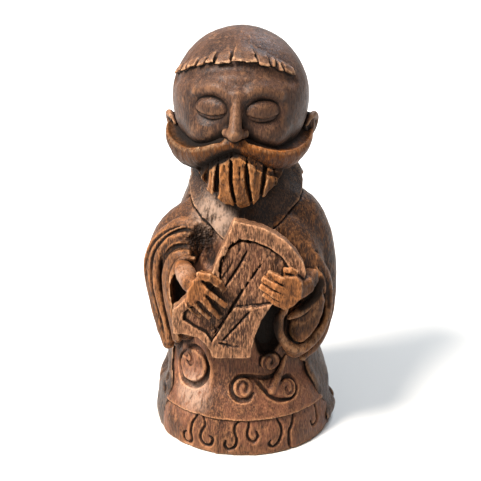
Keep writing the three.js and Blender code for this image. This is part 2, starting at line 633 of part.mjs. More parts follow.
const LEFT_CUFF_FOLDS = [
  [
    [49, 41, 7.8, 2.5], [47.5, 36.4, 8, 2.5], [43, 32.4, 7.8, 2.4],
    [36.5, 29.2, 6.6, 2.3], [30, 27.6, 5.2, 2.2],
  ],
];
// The deep hollow in the robe between the lyre's foot and the left sleeve.
const SIDE_HOLLOW = [[15, 34, 0, 4.4], [19, 26, -0.6, 6.4], [19, 18.6, -1, 5.6], [17, 12.4, -0.8, 3.2]];
const RIGHT_HOLLOW = [-39, 41, 11];

const sleeveScale = SHOULDER_RISE / RIGHT_SLEEVE_FOLDS[0][0][1];
const sleevePoint = ([degrees, rise, out]) => onTrunk(degrees, WAIST_Z + rise * sleeveScale, out * sleeveScale);
const folds = (rows, grow, steps = 8, sides = 8) =>
  rows.map((stations) =>
    bar(stations.map((station) => [...sleevePoint(station), station[3] * sleeveScale]), grow, steps, sides),
  );

const rightSleeveForm = (grow = 0) => join(...folds(RIGHT_SLEEVE_FOLDS, grow));
const leftSleeveForm = (grow = 0) => join(...folds(LEFT_SLEEVE_FOLDS, grow));
const rightCuffForm = (grow = 0) => join(...folds(RIGHT_CUFF_FOLDS, grow));
const leftCuffForm = (grow = 0) => join(...folds(LEFT_CUFF_FOLDS, grow, 5));
const hollow = (place, radii) => ball(sleevePoint(place).toArray(), radii.map((r) => r * sleeveScale));

const lyreTool = moved(lyreForm(CLEARANCE), lyreMatrix);
const handTools = [rightHandForm, leftHandForm].map((form) => moved(form(CLEARANCE), lyreMatrix));
const collarTool = aboveCollarEdge(CLEARANCE);
const trunkTool = trunk(CLEARANCE, -CLEARANCE);
const figure = new THREE.Group();
figure.add(head, lyre);
const sleeveCuts = [trunkTool, collarTool, lyreTool, ...handTools];
const rightMouth = hollow(RIGHT_HOLLOW, [5, 9, 12]);
const rightSleeve = cut(rightSleeveForm(), ...sleeveCuts, rightCuffForm(CLEARANCE), rightMouth);
const rightCuff = cut(rightCuffForm(), ...sleeveCuts, hollow(RIGHT_HOLLOW, [4, 8, 10]));
figure.add(meshOf("right_sleeve", rightSleeve, CLOAK_WOOD));
figure.add(meshOf("right_cuff", rightCuff, CLOAK_WOOD));
figure.add(meshOf("left_sleeve", cut(leftSleeveForm(), ...sleeveCuts, leftCuffForm(CLEARANCE)), CLOAK_WOOD));
figure.add(meshOf("left_cuff", cut(leftCuffForm(), ...sleeveCuts), CLOAK_WOOD));

// The ornaments of the skirt: a round spiral boss and three joined spirals
const ROUNDEL_TURN_DEG = -41;
const roundelForm = (grow = 0) => {
  const centre = onTrunk(ROUNDEL_TURN_DEG, HEM_Z + SKIRT_HEIGHT * 1.08, -ROBE_INSET);
  const radii = [ROUNDEL_RADIUS, 2.6 * RELIEF_HEIGHT, ROUNDEL_RADIUS];
  return ball(centre, radii, grow, new THREE.Euler(0, 0, rad(ROUNDEL_TURN_DEG)));
};

// A spiral on the skirt: it leaves the hub, swings out and winds in round its own centre.
const TRISKELE_HUB = [15.5, HEM_Z + 15.5];
const TRISKELE_TIP = [29.5, HEM_Z + 24.4];
const TRISKELE_SPIRALS = [
  { centre: [16.5, HEM_Z + 24.2], start: -50 },
  { centre: [0.6, HEM_Z + 14], start: 25 },
  { centre: [29, HEM_Z + 12.4], start: 200 },
];
const SPIRAL_TURNS = 1.15;
const SPIRAL_POINTS = 9;
const inSkirt = ([degrees, z]) => onTrunk(degrees, z, -ROBE_INSET);

function spiral({ centre, start }, grow) {
  const degreesPerMm = 180 / (Math.PI * FOOT_RADIUS);
  const winding = Array.from({ length: SPIRAL_POINTS }, (_, i) => {
    const share = i / (SPIRAL_POINTS - 1);
    const radius = SPIRAL_RADIUS * (1 - 0.72 * share);
    const angle = rad(start + 360 * SPIRAL_TURNS * share);
    return inSkirt([centre[0] + radius * Math.cos(angle) * degreesPerMm, centre[1] + radius * Math.sin(angle)]);
  });
  return bar([inSkirt(TRISKELE_HUB), ...winding].map((point) => [...point, SPIRAL_CORD_RADIUS]), grow, 15, 6);
}

const triskeleForm = (grow = 0) => {
  const [tip, root] = [TRISKELE_TIP, TRISKELE_SPIRALS[2].centre].map(inSkirt);
  return join(
    ball(inSkirt(TRISKELE_HUB), [3, 1.8, 2.4], grow, new THREE.Euler(), 12),
    bar([[...root, 1.4], [...tip, 0.8]], grow, 2, 6),
    ...TRISKELE_SPIRALS.map((place) => spiral(place, grow)),
  );
};

figure.add(meshOf("spiral_roundel", roundelForm(), ROBE_WOOD));
figure.add(meshOf("triskele", triskeleForm(), ROBE_WOOD));

// The garments
const headClearance = moved(join(skull(CLEARANCE), beardForm(CLEARANCE)), headMatrix);

const cloakSolid = cut(
  trunk(0),
  cloakOpening(CLEARANCE, -1, 2 * NECK_Z),
  collarTool,
  ...CLOAK_GROOVES.map(cloakGroove),
);
const robeSolid = cut(
  trunk(-ROBE_INSET, HEM_Z + CLEARANCE).intersect(cloakOpening(0, HEM_Z + CLEARANCE, 2 * NECK_Z)),
  collarTool,
  lyreTool,
  ...handTools,
  roundelForm(CLEARANCE),
  triskeleForm(CLEARANCE),
  ...folds([SIDE_HOLLOW], 0, 6),
);
const bandSolid = trunk(-ROBE_INSET / 3).intersect(cloakOpening(0, -1, HEM_Z));
const collarBlank = join(
  trunk(COLLAR_THICKNESS, SHOULDER_Z - COLLAR_POINT_DROP - COLLAR_THICKNESS),
  ...folds([RIGHT_SLEEVE_FOLDS[0], LEFT_SLEEVE_FOLDS[0]], COLLAR_STEP),
);
const collarSolid = cut(collarBlank.intersect(aboveCollarEdge(0)), headClearance, lyreTool);

figure.add(meshOf("cloak", cloakSolid, CLOAK_WOOD));
figure.add(meshOf("robe_front", robeSolid, ROBE_WOOD));
figure.add(meshOf("hem_band", bandSolid, ROBE_WOOD));
figure.add(meshOf("cowl_collar", collarSolid, CLOAK_WOOD));

export default figure;
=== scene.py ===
"""A carved wooden figurine of a bearded harper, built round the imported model.

Each piece of the carving is modelled as a solid form, given by its signed distance in millimetres.
Forms are joined and cut as a carver would add and gouge, then meshed and stained.
"""
import math
from concurrent.futures import ThreadPoolExecutor
from itertools import product

import bpy
import numpy as np
import openvdb
from mathutils import Euler, Matrix, Vector


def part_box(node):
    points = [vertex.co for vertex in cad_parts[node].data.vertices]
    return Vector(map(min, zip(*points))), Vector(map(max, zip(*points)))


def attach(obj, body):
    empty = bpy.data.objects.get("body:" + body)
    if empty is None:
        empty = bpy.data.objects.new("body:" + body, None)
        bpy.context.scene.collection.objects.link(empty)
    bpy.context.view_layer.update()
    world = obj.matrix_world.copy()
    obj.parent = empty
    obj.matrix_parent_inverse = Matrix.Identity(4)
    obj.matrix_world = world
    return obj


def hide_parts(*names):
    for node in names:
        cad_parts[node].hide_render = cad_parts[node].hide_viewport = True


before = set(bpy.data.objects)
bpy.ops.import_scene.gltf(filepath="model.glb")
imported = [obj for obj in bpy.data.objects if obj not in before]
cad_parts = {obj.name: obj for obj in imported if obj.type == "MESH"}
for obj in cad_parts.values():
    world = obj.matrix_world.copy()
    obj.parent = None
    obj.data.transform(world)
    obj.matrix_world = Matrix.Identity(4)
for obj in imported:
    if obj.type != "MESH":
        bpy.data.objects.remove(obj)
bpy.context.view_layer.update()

MM = 0.001
# Voxel size; a cell is this many voxels wide and is sampled finely where the surface is within reach.
STEP = 0.45
CELL = 4
REACH = 4.4 * STEP
BAND = 3 * STEP
CELLS_AT_ONCE = 600
THREADS = 4
# A form's distance is only worked out this near to its box.
FAR = 4.0


# Forms.

class Form:
    """A solid: its signed distance as a function of (x, y, z) arrays, and the box it lies in."""

    def __init__(self, distance, low, high):
        self.distance = distance
        self.low = np.asarray(low, float)
        self.high = np.asarray(high, float)

    def __call__(self, point):
        near = np.ones(point[0].shape, bool)
        for c, low, high in zip(point, self.low - FAR, self.high + FAR):
            near &= (c > low) & (c < high)
        out = np.full(point[0].shape, FAR, np.float32)
        if near.any():
            out[near] = self.distance(tuple(c[near] for c in point))
        return out


def soft_min(a, b, k):
    """The lesser of two distances, blended where they differ by less than k."""
    if k <= 0:
        return np.minimum(a, b)
    h = np.clip(0.5 + 0.5 * (b - a) / k, 0, 1)
    return b + (a - b) * h - k * h * (1 - h)


def join(*forms, k=0.0):
    """The forms as one solid, with a soft inner corner of about k where they meet."""
    def distance(p):
        out = forms[0](p)
        for form in forms[1:]:
            out = soft_min(out, form(p), k)
        return out
    return Form(distance, np.min([f.low for f in forms], 0), np.max([f.high for f in forms], 0))


def cut(form, *tools, k=0.0):
    """The form without the tools, with an edge that is soft by about k."""
    def distance(p):
        out = form(p)
        for tool in tools:
            out = -soft_min(-out, tool(p), k)
        return out
    return Form(distance, form.low, form.high)


def overlap(a, b, k=0.0):
    """What two forms share."""
    return Form(lambda p: -soft_min(-a(p), -b(p), k), np.maximum(a.low, b.low), np.minimum(a.high, b.high))


def grown(form, by):
    """The form, grown on all sides."""
    return Form(lambda p: form(p) - by, form.low - by, form.high + by)


def smooth_path(stations, per_span):
    """Points along a Catmull-Rom curve through the stations; each row is x, y, z, radius."""
    s = np.asarray(stations, float)
    if len(s) == 2 or per_span == 1:
        return s
    ends = np.vstack([2 * s[0] - s[1], s, 2 * s[-1] - s[-2]])
    rows = []
    for i in range(len(s) - 1):
        a, b, c, d = ends[i:i + 4]
        for t in np.arange(per_span) / per_span:
            rows.append(0.5 * (2 * b + (c - a) * t + (2 * a - 5 * b + 4 * c - d) * t**2
                               + (3 * b - a - 3 * c + d) * t**3))
    return np.vstack([rows, s[-1]])


def bar(*stations, per_span=4):
    """A round bar of changing radius along a smooth curve through (x, y, z, radius) stations."""
    path = smooth_path(stations, per_span).astype(np.float32)

    def distance(p):
        out = np.full(p[0].shape, FAR * 9, np.float32)
        for a, b in zip(path[:-1], path[1:]):
            along = b[:3] - a[:3]
            size = max(float(along @ along), 1e-6)
            d = [c - s for c, s in zip(p, a[:3])]
            t = np.clip((d[0] * along[0] + d[1] * along[1] + d[2] * along[2]) / size, 0, 1)
            off = sum((c - t * s) ** 2 for c, s in zip(d, along))
            np.minimum(out, np.sqrt(off) - (a[3] + t * (b[3] - a[3])), out=out)
        return out
    r = path[:, 3:]
    return Form(distance, (path[:, :3] - r).min(0), (path[:, :3] + r).max(0))


def placed(form, matrix):
    """The form moved by a matrix."""
    back = np.array(matrix.inverted(), np.float32)
    corners = [matrix @ Vector((x, y, z)) for x in (form.low[0], form.high[0])
               for y in (form.low[1], form.high[1]) for z in (form.low[2], form.high[2])]

    def distance(p):
        return form(tuple(r[0] * p[0] + r[1] * p[1] + r[2] * p[2] + r[3] for r in back[:3]))
    return Form(distance, np.min(corners, 0), np.max(corners, 0))


def ball(centre, radii, turn=(0, 0, 0)):
    """A ball with three radii, turned by three angles in degrees."""
    rx, ry, rz = radii

    def distance(p):
        q = (p[0] / rx, p[1] / ry, p[2] / rz)
        k0 = np.sqrt(q[0]**2 + q[1]**2 + q[2]**2)
        k1 = np.sqrt((q[0] / rx)**2 + (q[1] / ry)**2 + (q[2] / rz)**2)
        return k0 * (k0 - 1) / np.maximum(k1, 1e-6)
    matrix = Matrix.Translation(centre) @ Euler([math.radians(a) for a in turn]).to_matrix().to_4x4()
    return placed(Form(distance, [-r for r in radii], radii), matrix)


def box(half, round_by):
    """A box about the origin with rounded edges."""
    def distance(p):
        q = [np.abs(c) - h + round_by for c, h in zip(p, half)]
        outside = np.sqrt(sum(np.maximum(c, 0)**2 for c in q))
        return outside + np.minimum(np.maximum(np.maximum(q[0], q[1]), q[2]), 0) - round_by
    return Form(distance, [-h for h in half], half)


def whittled(*stations, flat=0.9, round_by=0.3):
    """A finger or wrist left in flat facets: one block between each two (x, y, z, half width) stations."""
    parts = []
    for a, b in zip(stations[:-1], stations[1:]):
        a, b = np.array(a, float), np.array(b, float)
        along = Vector(b[:3] - a[:3])
        r = float(a[3] + b[3]) / 2
        half = (r * flat, r, along.length / 2 + 0.5 * r)
        turn = along.to_track_quat("Z", "Y").to_matrix().to_4x4()
        parts.append(placed(box(half, round_by * r), Matrix.Translation((a[:3] + b[:3]) / 2) @ turn))
    return join(*parts, k=0.3)


def plate(outline, front, back, round_by=0.0):
    """A plate with this outline in the XZ plane, from y = front to y = back."""
    pts = np.asarray(outline, np.float32)

    def distance(p):
        x, y, z = p
        best = np.full(x.shape, 1e6, np.float32)
        inside = np.zeros(x.shape, bool)
        for (ax, az), (bx, bz) in zip(pts, np.roll(pts, -1, 0)):
            ex, ez = bx - ax, bz - az
            wx, wz = x - ax, z - az
            t = np.clip((wx * ex + wz * ez) / (ex * ex + ez * ez), 0, 1)
            np.minimum(best, (wx - t * ex)**2 + (wz - t * ez)**2, out=best)
            crosses = (az > z) != (bz > z)
            inside ^= crosses & (wx < wz * ex / (ez if ez else 1e-9))
        flat = np.where(inside, -1, 1) * np.sqrt(best) + round_by
        deep = np.abs(y - (front + back) / 2) - (back - front) / 2 + round_by
        outside = np.hypot(np.maximum(flat, 0), np.maximum(deep, 0))
        return outside + np.minimum(np.maximum(flat, deep), 0) - round_by
    low, high = pts.min(0), pts.max(0)
    return Form(distance, (low[0], front, low[1]), (high[0], back, high[1]))


NOISE_SIZE = 32
# Where the grids of the noise and of the gouge marks start.
NOISE_START = 100
GOUGE_START = 50
noise_table = np.random.default_rng(7).uniform(-1, 1, (NOISE_SIZE,) * 3).astype(np.float32)
CORNERS = list(product((0, 1), repeat=3))


def corner_share(parts, corner):
    """How much one corner of a grid cell counts, at points that lie this far across the cell."""
    share = 1
    for t, n in zip(parts, corner):
        share = share * (t if n else 1 - t)
    return share


def noise(p, size):
    """Smooth value noise between -1 and 1, with lumps of about this size."""
    whole, part = [], []
    for c, s in zip(p, size if isinstance(size, tuple) else (size,) * 3):
        c = c / s + NOISE_START
        low = np.floor(c)
        t = c - low
        whole.append(low.astype(np.int32) % NOISE_SIZE)
        part.append(t * t * (3 - 2 * t))
    out = 0
    for corner in CORNERS:
        cell = tuple((w + n) % NOISE_SIZE for w, n in zip(whole, corner))
        out = out + corner_share(part, corner) * noise_table[cell]
    return out


def rough(form, *layers):
    """The form with an uneven surface: each layer is (height, size of the lumps)."""
    def distance(p):
        d = form(p)
        near = np.abs(d) < REACH
        if near.any():
            q = tuple(c[near] for c in p)
            d[near] += sum(height * noise(q, size) for height, size in layers)
        return d
    return Form(distance, form.low, form.high)


def gouged(form, depth, size):
    """The form with shallow scoops all over, one for each cell of a jittered grid, as a gouge leaves them."""
    def distance(p):
        d = form(p)
        near = np.abs(d) < REACH
        if not near.any():
            return d
        q = [c[near] / s + GOUGE_START for c, s in zip(p, size)]
        low = [np.floor(c - 0.5).astype(np.int32) for c in q]
        best = np.full(q[0].shape, 9.0, np.float32)
        for corner in CORNERS:
            cell = [c + n for c, n in zip(low, corner)]
            a, b, c = [v % NOISE_SIZE for v in cell]
            shift = (noise_table[a, b, c], noise_table[b, c, a], noise_table[c, a, b])
            away = sum((v - m - 0.5 - 0.3 * t)**2 for v, m, t in zip(q, cell, shift))
            np.minimum(best, away, out=best)
        d[near] += depth * (0.6 - best)
        return d
    return Form(distance, form.low, form.high)


def scored(form, band, depth):
    """The form with a line cut into it, this deep, wherever the band meets its surface."""
    return join(cut(form, band, k=0.2), grown(form, -depth))


def stippled(form, centre, reach, depth, size=1.2):
    """The form with a pitted patch, as a punch leaves it, that fades out within its reach."""
    def distance(p):
        d = form(p)
        away = np.sqrt(sum((c - m)**2 for c, m in zip(p, centre)))
        near = (np.abs(d) < REACH) & (away < reach)
        if near.any():
            q = tuple(c[near] for c in p)
            fade = np.clip(2.5 * (1 - away[near] / reach), 0, 1)
            d[near] += fade * depth * (0.35 + noise(q, size) + 0.5 * noise(q, size * 0.55))
        return d
    return Form(distance, form.low, form.high)


# The trunk.

FOOT = (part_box("cloak")[1].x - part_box("cloak")[0].x) / 2 / MM - 0.3
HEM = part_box("hem_band")[1].z / MM
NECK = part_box("cowl_collar")[1].z / MM
ROBE_INSET = 0.9

# Height, half width and half depth of the body from the foot to the neck.
TRUNK = np.array([
    (-3, FOOT - 0.5, FOOT - 0.5), (0, FOOT + 0.1, FOOT + 0.1), (3, FOOT + 0.5, FOOT + 0.4),
    (8.4, FOOT + 0.5, FOOT + 0.3), (HEM, FOOT - 1, FOOT - 1), (25.4, 36.1, 35.7), (34, 33.2, 32.4),
    (48, 32.8, 32.2), (63, 33, 32.3), (82, 31.5, 31.5), (92, 28.4, 27.6), (101, 26.2, 25), (106.5, 24, 23),
    (NECK - 10, 22, 20.8), (NECK - 3.5, 18.2, 17.6), (NECK, 16.4, 16), (NECK + 8, 14, 14),
])
trunk_path = smooth_path(np.c_[TRUNK, TRUNK[:, 0]], 6)


def trunk_at(z):
    """The body's half width and half depth at a height."""
    return (np.interp(z, trunk_path[:, 0], trunk_path[:, 1]),
            np.interp(z, trunk_path[:, 0], trunk_path[:, 2]))


def trunk(grow, low=0.0, high=NECK):
    """The body, grown by a number or by rows of (height, growth)."""
    def distance(p):
        a, b = trunk_at(p[2])
        out = np.hypot(p[0] / a, p[1] / b)
        more = grow if np.isscalar(grow) else np.interp(p[2], *zip(*grow))
        side = (out - 1) * 0.5 * (a + b) - more
        return np.maximum(side * 0.97, np.maximum(low - p[2], p[2] - high)).astype(np.float32)
    reach = FOOT + 3
    return Form(distance, (-reach, -reach, low), (reach, reach, high))


def on_trunk(degrees, z, out=0.0):
    """A point on the body: degrees round from the front towards the figure's left."""
    a, b = trunk_at(z)
    s, c = math.sin(math.radians(degrees)), math.cos(math.radians(degrees))
    radius = 1 / math.hypot(s / a, c / b) + out
    return radius * s, -radius * c, z


def bar_on(surface, rows, **settings):
    """A bar on the trunk or on the head, through rows of (degrees, height, how far out, radius)."""
    return bar(*[(*surface(degrees, z, out), r) for degrees, z, out, r in rows], **settings)


def line_on_trunk(radius, out, *places):
    """A bar of one radius, thin at its ends, that follows the skirt through (degrees, height) places."""
    radii = [radius * 0.4] + [radius] * (len(places) - 2) + [radius * 0.4]
    return bar_on(on_trunk, [(d, z, out, r) for (d, z), r in zip(places, radii)])


def gouge(radius, *points, depth=0.0, ends=0.4):
    """A bar along points of the surface, with its middle this far below them, or by its own radius."""
    rows = []
    for i, (x, y, z) in enumerate(points):
        r = radius * (ends if i in (0, len(points) - 1) else 1)
        share = 1 - (r if depth is None else depth) / math.hypot(x, y)
        rows.append((x * share, y * share, z, r))
    return bar(*rows)


def ridge(radius, *points, ends=0.5):
    """A bar whose outer side passes through these points of the surface."""
    return gouge(radius, *points, depth=None, ends=ends)


def between(one, other, share, count=9):
    """A line that lies between two others, as long as they are."""
    lines = []
    for line in (one, other):
        line = np.array(line, float)
        run = np.r_[0, np.cumsum(np.linalg.norm(np.diff(line, axis=0), axis=1))]
        lines.append(np.stack([np.interp(np.linspace(0, 1, count), run / run[-1], c) for c in line.T], -1))
    return [tuple(row) for row in lines[0] * (1 - share) + lines[1] * share]


# The garments.

# How far a tool reaches beyond the body, to cut right through.
CLEAR = 60

# The opening between the cloak's front edges, seen from the front.
WINDOW = [
    (37, -4), (36.2, 5), (35, 12), (32.4, 17.6), (28.9, 23.6), (27, 28.4), (25.9, 32.6), (24.6, 38),
    (24, 60), (22, 122), (-22, 122), (-26, 60), (-29, 46), (-30.2, 36), (-30.4, 30), (-30, 24), (-31.4, 20),
    (-33, 14), (-34, 8), (-34.5, -4),
]
cloak_window = plate(WINDOW, -CLEAR, -8)
# The body inside the garments, which the cloak's piece fills.
CORE_INSET = 6
core = trunk(-CORE_INSET, 2, NECK - 4)

# The cowl's lower edge, seen from the front, its height at the back and the depth of the line along it.
COWL_FOOT = 113.5
ABOVE = 140
COWL_LINE_DEPTH = 0.8
above_foot = [(CLEAR, COWL_FOOT), (CLEAR, ABOVE), (-CLEAR, ABOVE), (-CLEAR, COWL_FOOT)]
cowl_edge = plate([(-1, 86), (13.5, 98.4), (22, 106), (24, 109), (25, COWL_FOOT), *above_foot,
                   (-23, COWL_FOOT), (-22.4, 108), (-20.5, 104), (-11, 95.4)], -CLEAR, -6)
cowl_line = Form(lambda p: np.abs(cowl_edge(p) - 0.25) - 0.3, (-40, -CLEAR, 84), (40, -6, 116))

# The ornament of the skirt is drawn in places of (degrees round from the front, height).
# First the groove round the roundel.
roundel_ring = [(-50.5, 41), (-56.9, 36.4), (-57, 31.8), (-49.4, 28.1), (-39.1, 27.3), (-31.9, 29.7),
                (-29.4, 34.9), (-31.4, 40.4), (-37.2, 43.4), (-43.9, 43.6), (-49.8, 42.2)]
roundel_groove = join(line_on_trunk(0.95, -1.0, *roundel_ring), line_on_trunk(1.3, -1.2, *roundel_ring[2:9]))
roundel_lip = line_on_trunk(1.5, -1.5, (-33.4, 49), (-28.6, 43.6), (-26, 39.5), (-24.8, 35), (-24.4, 29),
                            (-25.4, 21))

# The grooves that set the triskele off from its ground.
TRISKELE_LINES = [
    [(21, 44.5), (27.6, 40.4), (28.8, 36.3), (24.5, 33.6), (17.4, 32.8), (8.7, 33.4), (2.3, 33.9),
     (-4.2, 33.3), (-8.9, 30.2), (-8.1, 26.9), (-3, 24.6), (3.1, 25.2), (6.8, 27.5)],
    [(7.4, 33), (10.6, 30.9), (14.4, 28.2), (18.1, 25.5), (24.1, 23.4), (31.8, 22.9), (37.9, 24.7),
     (39.6, 28.2), (36.2, 31.1), (31, 31.2), (28.3, 28.9)],
    [(12.4, 38.4), (13.4, 42.2), (18, 44.9), (23, 44.4)],
]
triskele_grooves = join(*[line_on_trunk(0.9, -1.0, *line) for line in TRISKELE_LINES])

# The hem's pattern: hook-ended lines, in pairs, each cut a little differently.
HOOKS = [
    [(-3, 16.1), (-5.7, 13.8), (-6, 10.7), (-4.5, 7.5), (-6, 4.3), (-10, 2.7), (-12.2, 4.6), (-11.5, 7.1)],
    [(2.8, 16.1), (2.8, 13.3), (1.9, 10.8), (2.7, 8.3), (5.8, 6.4), (8.7, 8.7), (8, 11.2)],
    [(-32.2, 15.5), (-35.4, 11.4), (-36.2, 7.3), (-35.3, 3.9), (-37.8, 1.6), (-41.3, 2.4), (-42, 5.5),
     (-39.6, 7)],
    [(-27.5, 16), (-25.8, 12.5), (-28.2, 8.9), (-28.8, 6.1), (-25.9, 3.4), (-21.5, 3.8), (-20, 6.9),
     (-22.3, 7.9)],
    [(21.6, 15.6), (24.3, 12.1), (24.5, 8.9), (22.2, 5.1), (18.5, 3.2), (16.1, 4.9), (17, 6.9)],
    [(33.6, 16), (32.6, 11.9), (30.1, 9.2), (29.6, 5.9), (30.4, 2.2), (31.6, 0.6)],
    [(54, 17.1), (55.2, 12.8), (54.7, 8.3), (50.1, 6.9), (48.1, 9.6)],
]
hooks = [line_on_trunk(radius, out, *line) for radius, out in ((0.6, -0.75), (0.4, -1.4)) for line in HOOKS]


def cloth(form):
    """The long, shallow facets that a flat gouge leaves on the garments."""
    return rough(gouged(form, 0.45, (5.5, 5.5, 10)), (0.24, (6.5, 6.5, 12)), (0.09, 1.5))


BAND_DEPTH = -0.75
hem_band = cloth(cut(overlap(trunk(BAND_DEPTH, 0, HEM + 0.8), grown(cloak_window, 1.5)), *hooks, k=0.2))

skirt = trunk([(HEM, 0.15), (HEM + 4, -0.35), (HEM + 12, -ROBE_INSET)], HEM - 0.4, NECK - 5)
skirt = overlap(skirt, grown(cloak_window, 1.2))
chest_hollow = bar((-19.4, -29, 101.5, 3), (-16.6, -29.8, 96.6, 6.4), (-15, -30, 90.6, 7),
                   (-14.8, -29.4, 85, 5))
punched = {"centre": (-17, -24, 94.5), "reach": 10.5, "depth": 0.35}
robe_front = cut(join(skirt, roundel_lip, k=1.4), roundel_groove, triskele_grooves, k=0.25)
side_hollow = bar((8.8, -30, 68, 5), (10.4, -28.4, 60, 7), (10, -27.8, 52.6, 6.2), (9.2, -29, 46.4, 3.6))
robe_front = cut(robe_front, chest_hollow, side_hollow, k=1.0)
robe_front = scored(cloth(robe_front), cowl_line, COWL_LINE_DEPTH)
robe_front = stippled(robe_front, **punched)


def boss(degrees, z, radius):
    """A round patch of the skirt, raised over its ground."""
    return overlap(trunk(-0.25, HEM, 60), ball(on_trunk(degrees, z, -1.5), (radius,) * 3), k=0.9)


# The roundel, and the comma that is cut into it.
ROUNDEL = (-43.4, 35.3, 7.3)
COMMA = [(-57, 32.6), (-56.6, 37), (-53, 40.2), (-48, 41), (-44.2, 39.4), (-43.4, 36.8), (-46, 35.2),
         (-49.4, 36)]
comma = join(line_on_trunk(0.95, -0.5, *COMMA),
             ball(on_trunk(-51.6, 39.2, -0.3), (2, 1.5, 1.3), (0, 30, -51)))
spiral_roundel = gouged(cut(boss(*ROUNDEL), comma, k=0.25), 0.3, (4, 4, 5))
spiral_roundel = rough(spiral_roundel, (0.2, (4, 4, 7)), (0.09, 1.5))

# The triskele's stem, in rows of (degrees, height, how far out, radius), its bosses, and the cuts in them.
STEM = [(20.6, 27.4, -1.9, 2.3), (24, 30.6, -1.3, 2), (28.4, 34.9, -0.9, 1.5), (33.2, 41, -0.6, 0.7)]
TRISKELE_BOSSES = ((20.4, 39.6, 4.2), (-0.6, 29.2, 4.2), (32, 27, 4.1), (26.6, 27.4, 3.2))
triskele = join(*[boss(*place) for place in TRISKELE_BOSSES], k=0.3)
CURLS = [
    [(26.4, 37.2), (21.6, 35.4), (16.6, 36.6), (15.4, 40.2), (18.4, 42.6), (22, 41.6), (21.6, 39.2),
     (19.6, 39)],
    [(5.8, 29.6), (4.4, 26.6), (0.4, 25.6), (-3.6, 27), (-4, 30.2), (-0.8, 32), (2, 30.8), (1.6, 28.6),
     (-0.4, 28.6)],
    [(29.6, 30.8), (34, 30.8), (36.8, 28.4), (35.6, 25.6), (32, 25.2), (30.6, 27.4), (32.6, 28.6)],
]
triskele = cut(triskele, *[line_on_trunk(0.72, -0.3, *curl) for curl in CURLS], k=0.2)
triskele = rough(join(triskele, bar_on(on_trunk, STEM), k=0.2), (0.14, (2.6, 2.6, 4)), (0.07, 1.2))

cloak = trunk([(12, BAND_DEPTH), (19, 0)], 0, 114)

# The grooves down the cloak's back: degrees at the floor, and how far each leans on its way up.
FOLDS = ((92, 4), (116, 7), (141, 4), (171, 1), (199, -3), (224, -6), (250, -6), (274, -3))
FOLD_HEIGHTS = (1, 9, 17, 26, 36, 50, 66, 84)


def cloak_fold(turn, lean):
    """A hanging groove that thins towards its top."""
    shares = [z / FOLD_HEIGHTS[-1] for z in FOLD_HEIGHTS]
    rows = [(turn + lean * share, z, 0.9, 2.1 * (1 - 0.75 * share**1.5))
            for z, share in zip(FOLD_HEIGHTS, shares)]
    return bar_on(on_trunk, rows, per_span=2)


cloak_folds = [cloak_fold(turn, lean) for turn, lean in FOLDS]
dimples = [ball(on_trunk(d, z, 0.2), (1.3, 1.3, 2.1)) for d, z in ((-67.5, 25.6), (-66.5, 19.6))]
swoop_rise = line_on_trunk(2.4, -1.6, (56, 36), (55, 30), (58, 24.6), (64, 18))
swoop_groove = [(50, 35), (51.6, 29), (55, 23), (57.6, 17.4), (60, 11), (58.6, 6)]
left_groove = [(-56, 41), (-56, 34), (-54.6, 28.6), (-53, 23.6), (-50.4, 18.6)]
edge_grooves = [line_on_trunk(1.0, -0.5, *swoop_groove), line_on_trunk(0.9, -0.2, *left_groove)]
waist_dip = ball((-38.4, -2, 27.4), (6.2, 14, 6.8))
FOOT_SWELL = ((66, 1.6), (80, 3.2), (93, 3.8), (106, 3.2), (120, 1.6))
foot_swell = bar_on(on_trunk, [(turn, 5.6, -2.2, r) for turn, r in FOOT_SWELL])
cloak = join(join(cloak, foot_swell, k=3), swoop_rise, k=1.2)
cloak = cut(cut(cloak, *cloak_folds, *dimples, k=0.8), waist_dip, k=2)
cloak = cut(cloak, cloak_window, k=0.05)
cloak = scored(cloth(cut(join(cloak, core), *edge_grooves, k=0.5)), cowl_line, COWL_LINE_DEPTH)

# The sleeves.


def sleeve_cloth(form):
    """The finer facets of the sleeves, with the cowl's line across them."""
    form = rough(gouged(form, 0.25, (3.6, 3.6, 7)), (0.15, (3, 3, 7)), (0.08, 1.4))
    return scored(form, cowl_line, COWL_LINE_DEPTH)


# Lines that the folds of the right sleeve follow, from the shoulder down: its outer edge first.
EDGE = [(-18.4, -25.4, 97), (-21.8, -23.4, 99.2), (-26.4, -20.6, 98.2), (-31.8, -18, 95.2), (-38.8, -15, 89),
        (-42.6, -13, 80.8), (-42.9, -13, 74.8), (-42.2, -14, 67.7), (-39.7, -16, 57.9), (-36.9, -19, 48.5),
        (-34.6, -21, 43)]
FOLD_1 = [(-19.4, -26.4, 95.4), (-23.6, -24.6, 96.2), (-28.7, -22, 94.2), (-34.3, -20, 89.5),
          (-37.7, -18, 82.8), (-38.8, -18, 75.4), (-38.3, -19, 68.3), (-35.8, -20, 58.2), (-33.1, -22, 46)]
FOLD_2 = [(-21.1, -27, 92.9), (-27.2, -25, 91.8), (-32.1, -23, 88.5), (-35.8, -21, 82.6), (-36.8, -21, 75.2),
          (-36.5, -21, 67.7), (-34.6, -22, 59.1), (-32, -23, 46)]
FOLD_3 = [(-23.7, -29, 87.9), (-27.8, -28, 87.9), (-31.3, -26, 86), (-33.7, -24, 81.6), (-34.6, -23.5, 75.5),
          (-34.4, -23.5, 68.8), (-32.7, -24, 60), (-30.2, -25, 48)]
RIM = [(-20.7, -31, 86.2), (-24.4, -31, 85.8), (-27.4, -30.5, 83.8), (-29.2, -30, 79.7),
       (-30.2, -29.5, 74.3), (-30.1, -29.5, 68.5), (-29, -30, 63), (-28.4, -29, 55), (-28, -28, 49)]

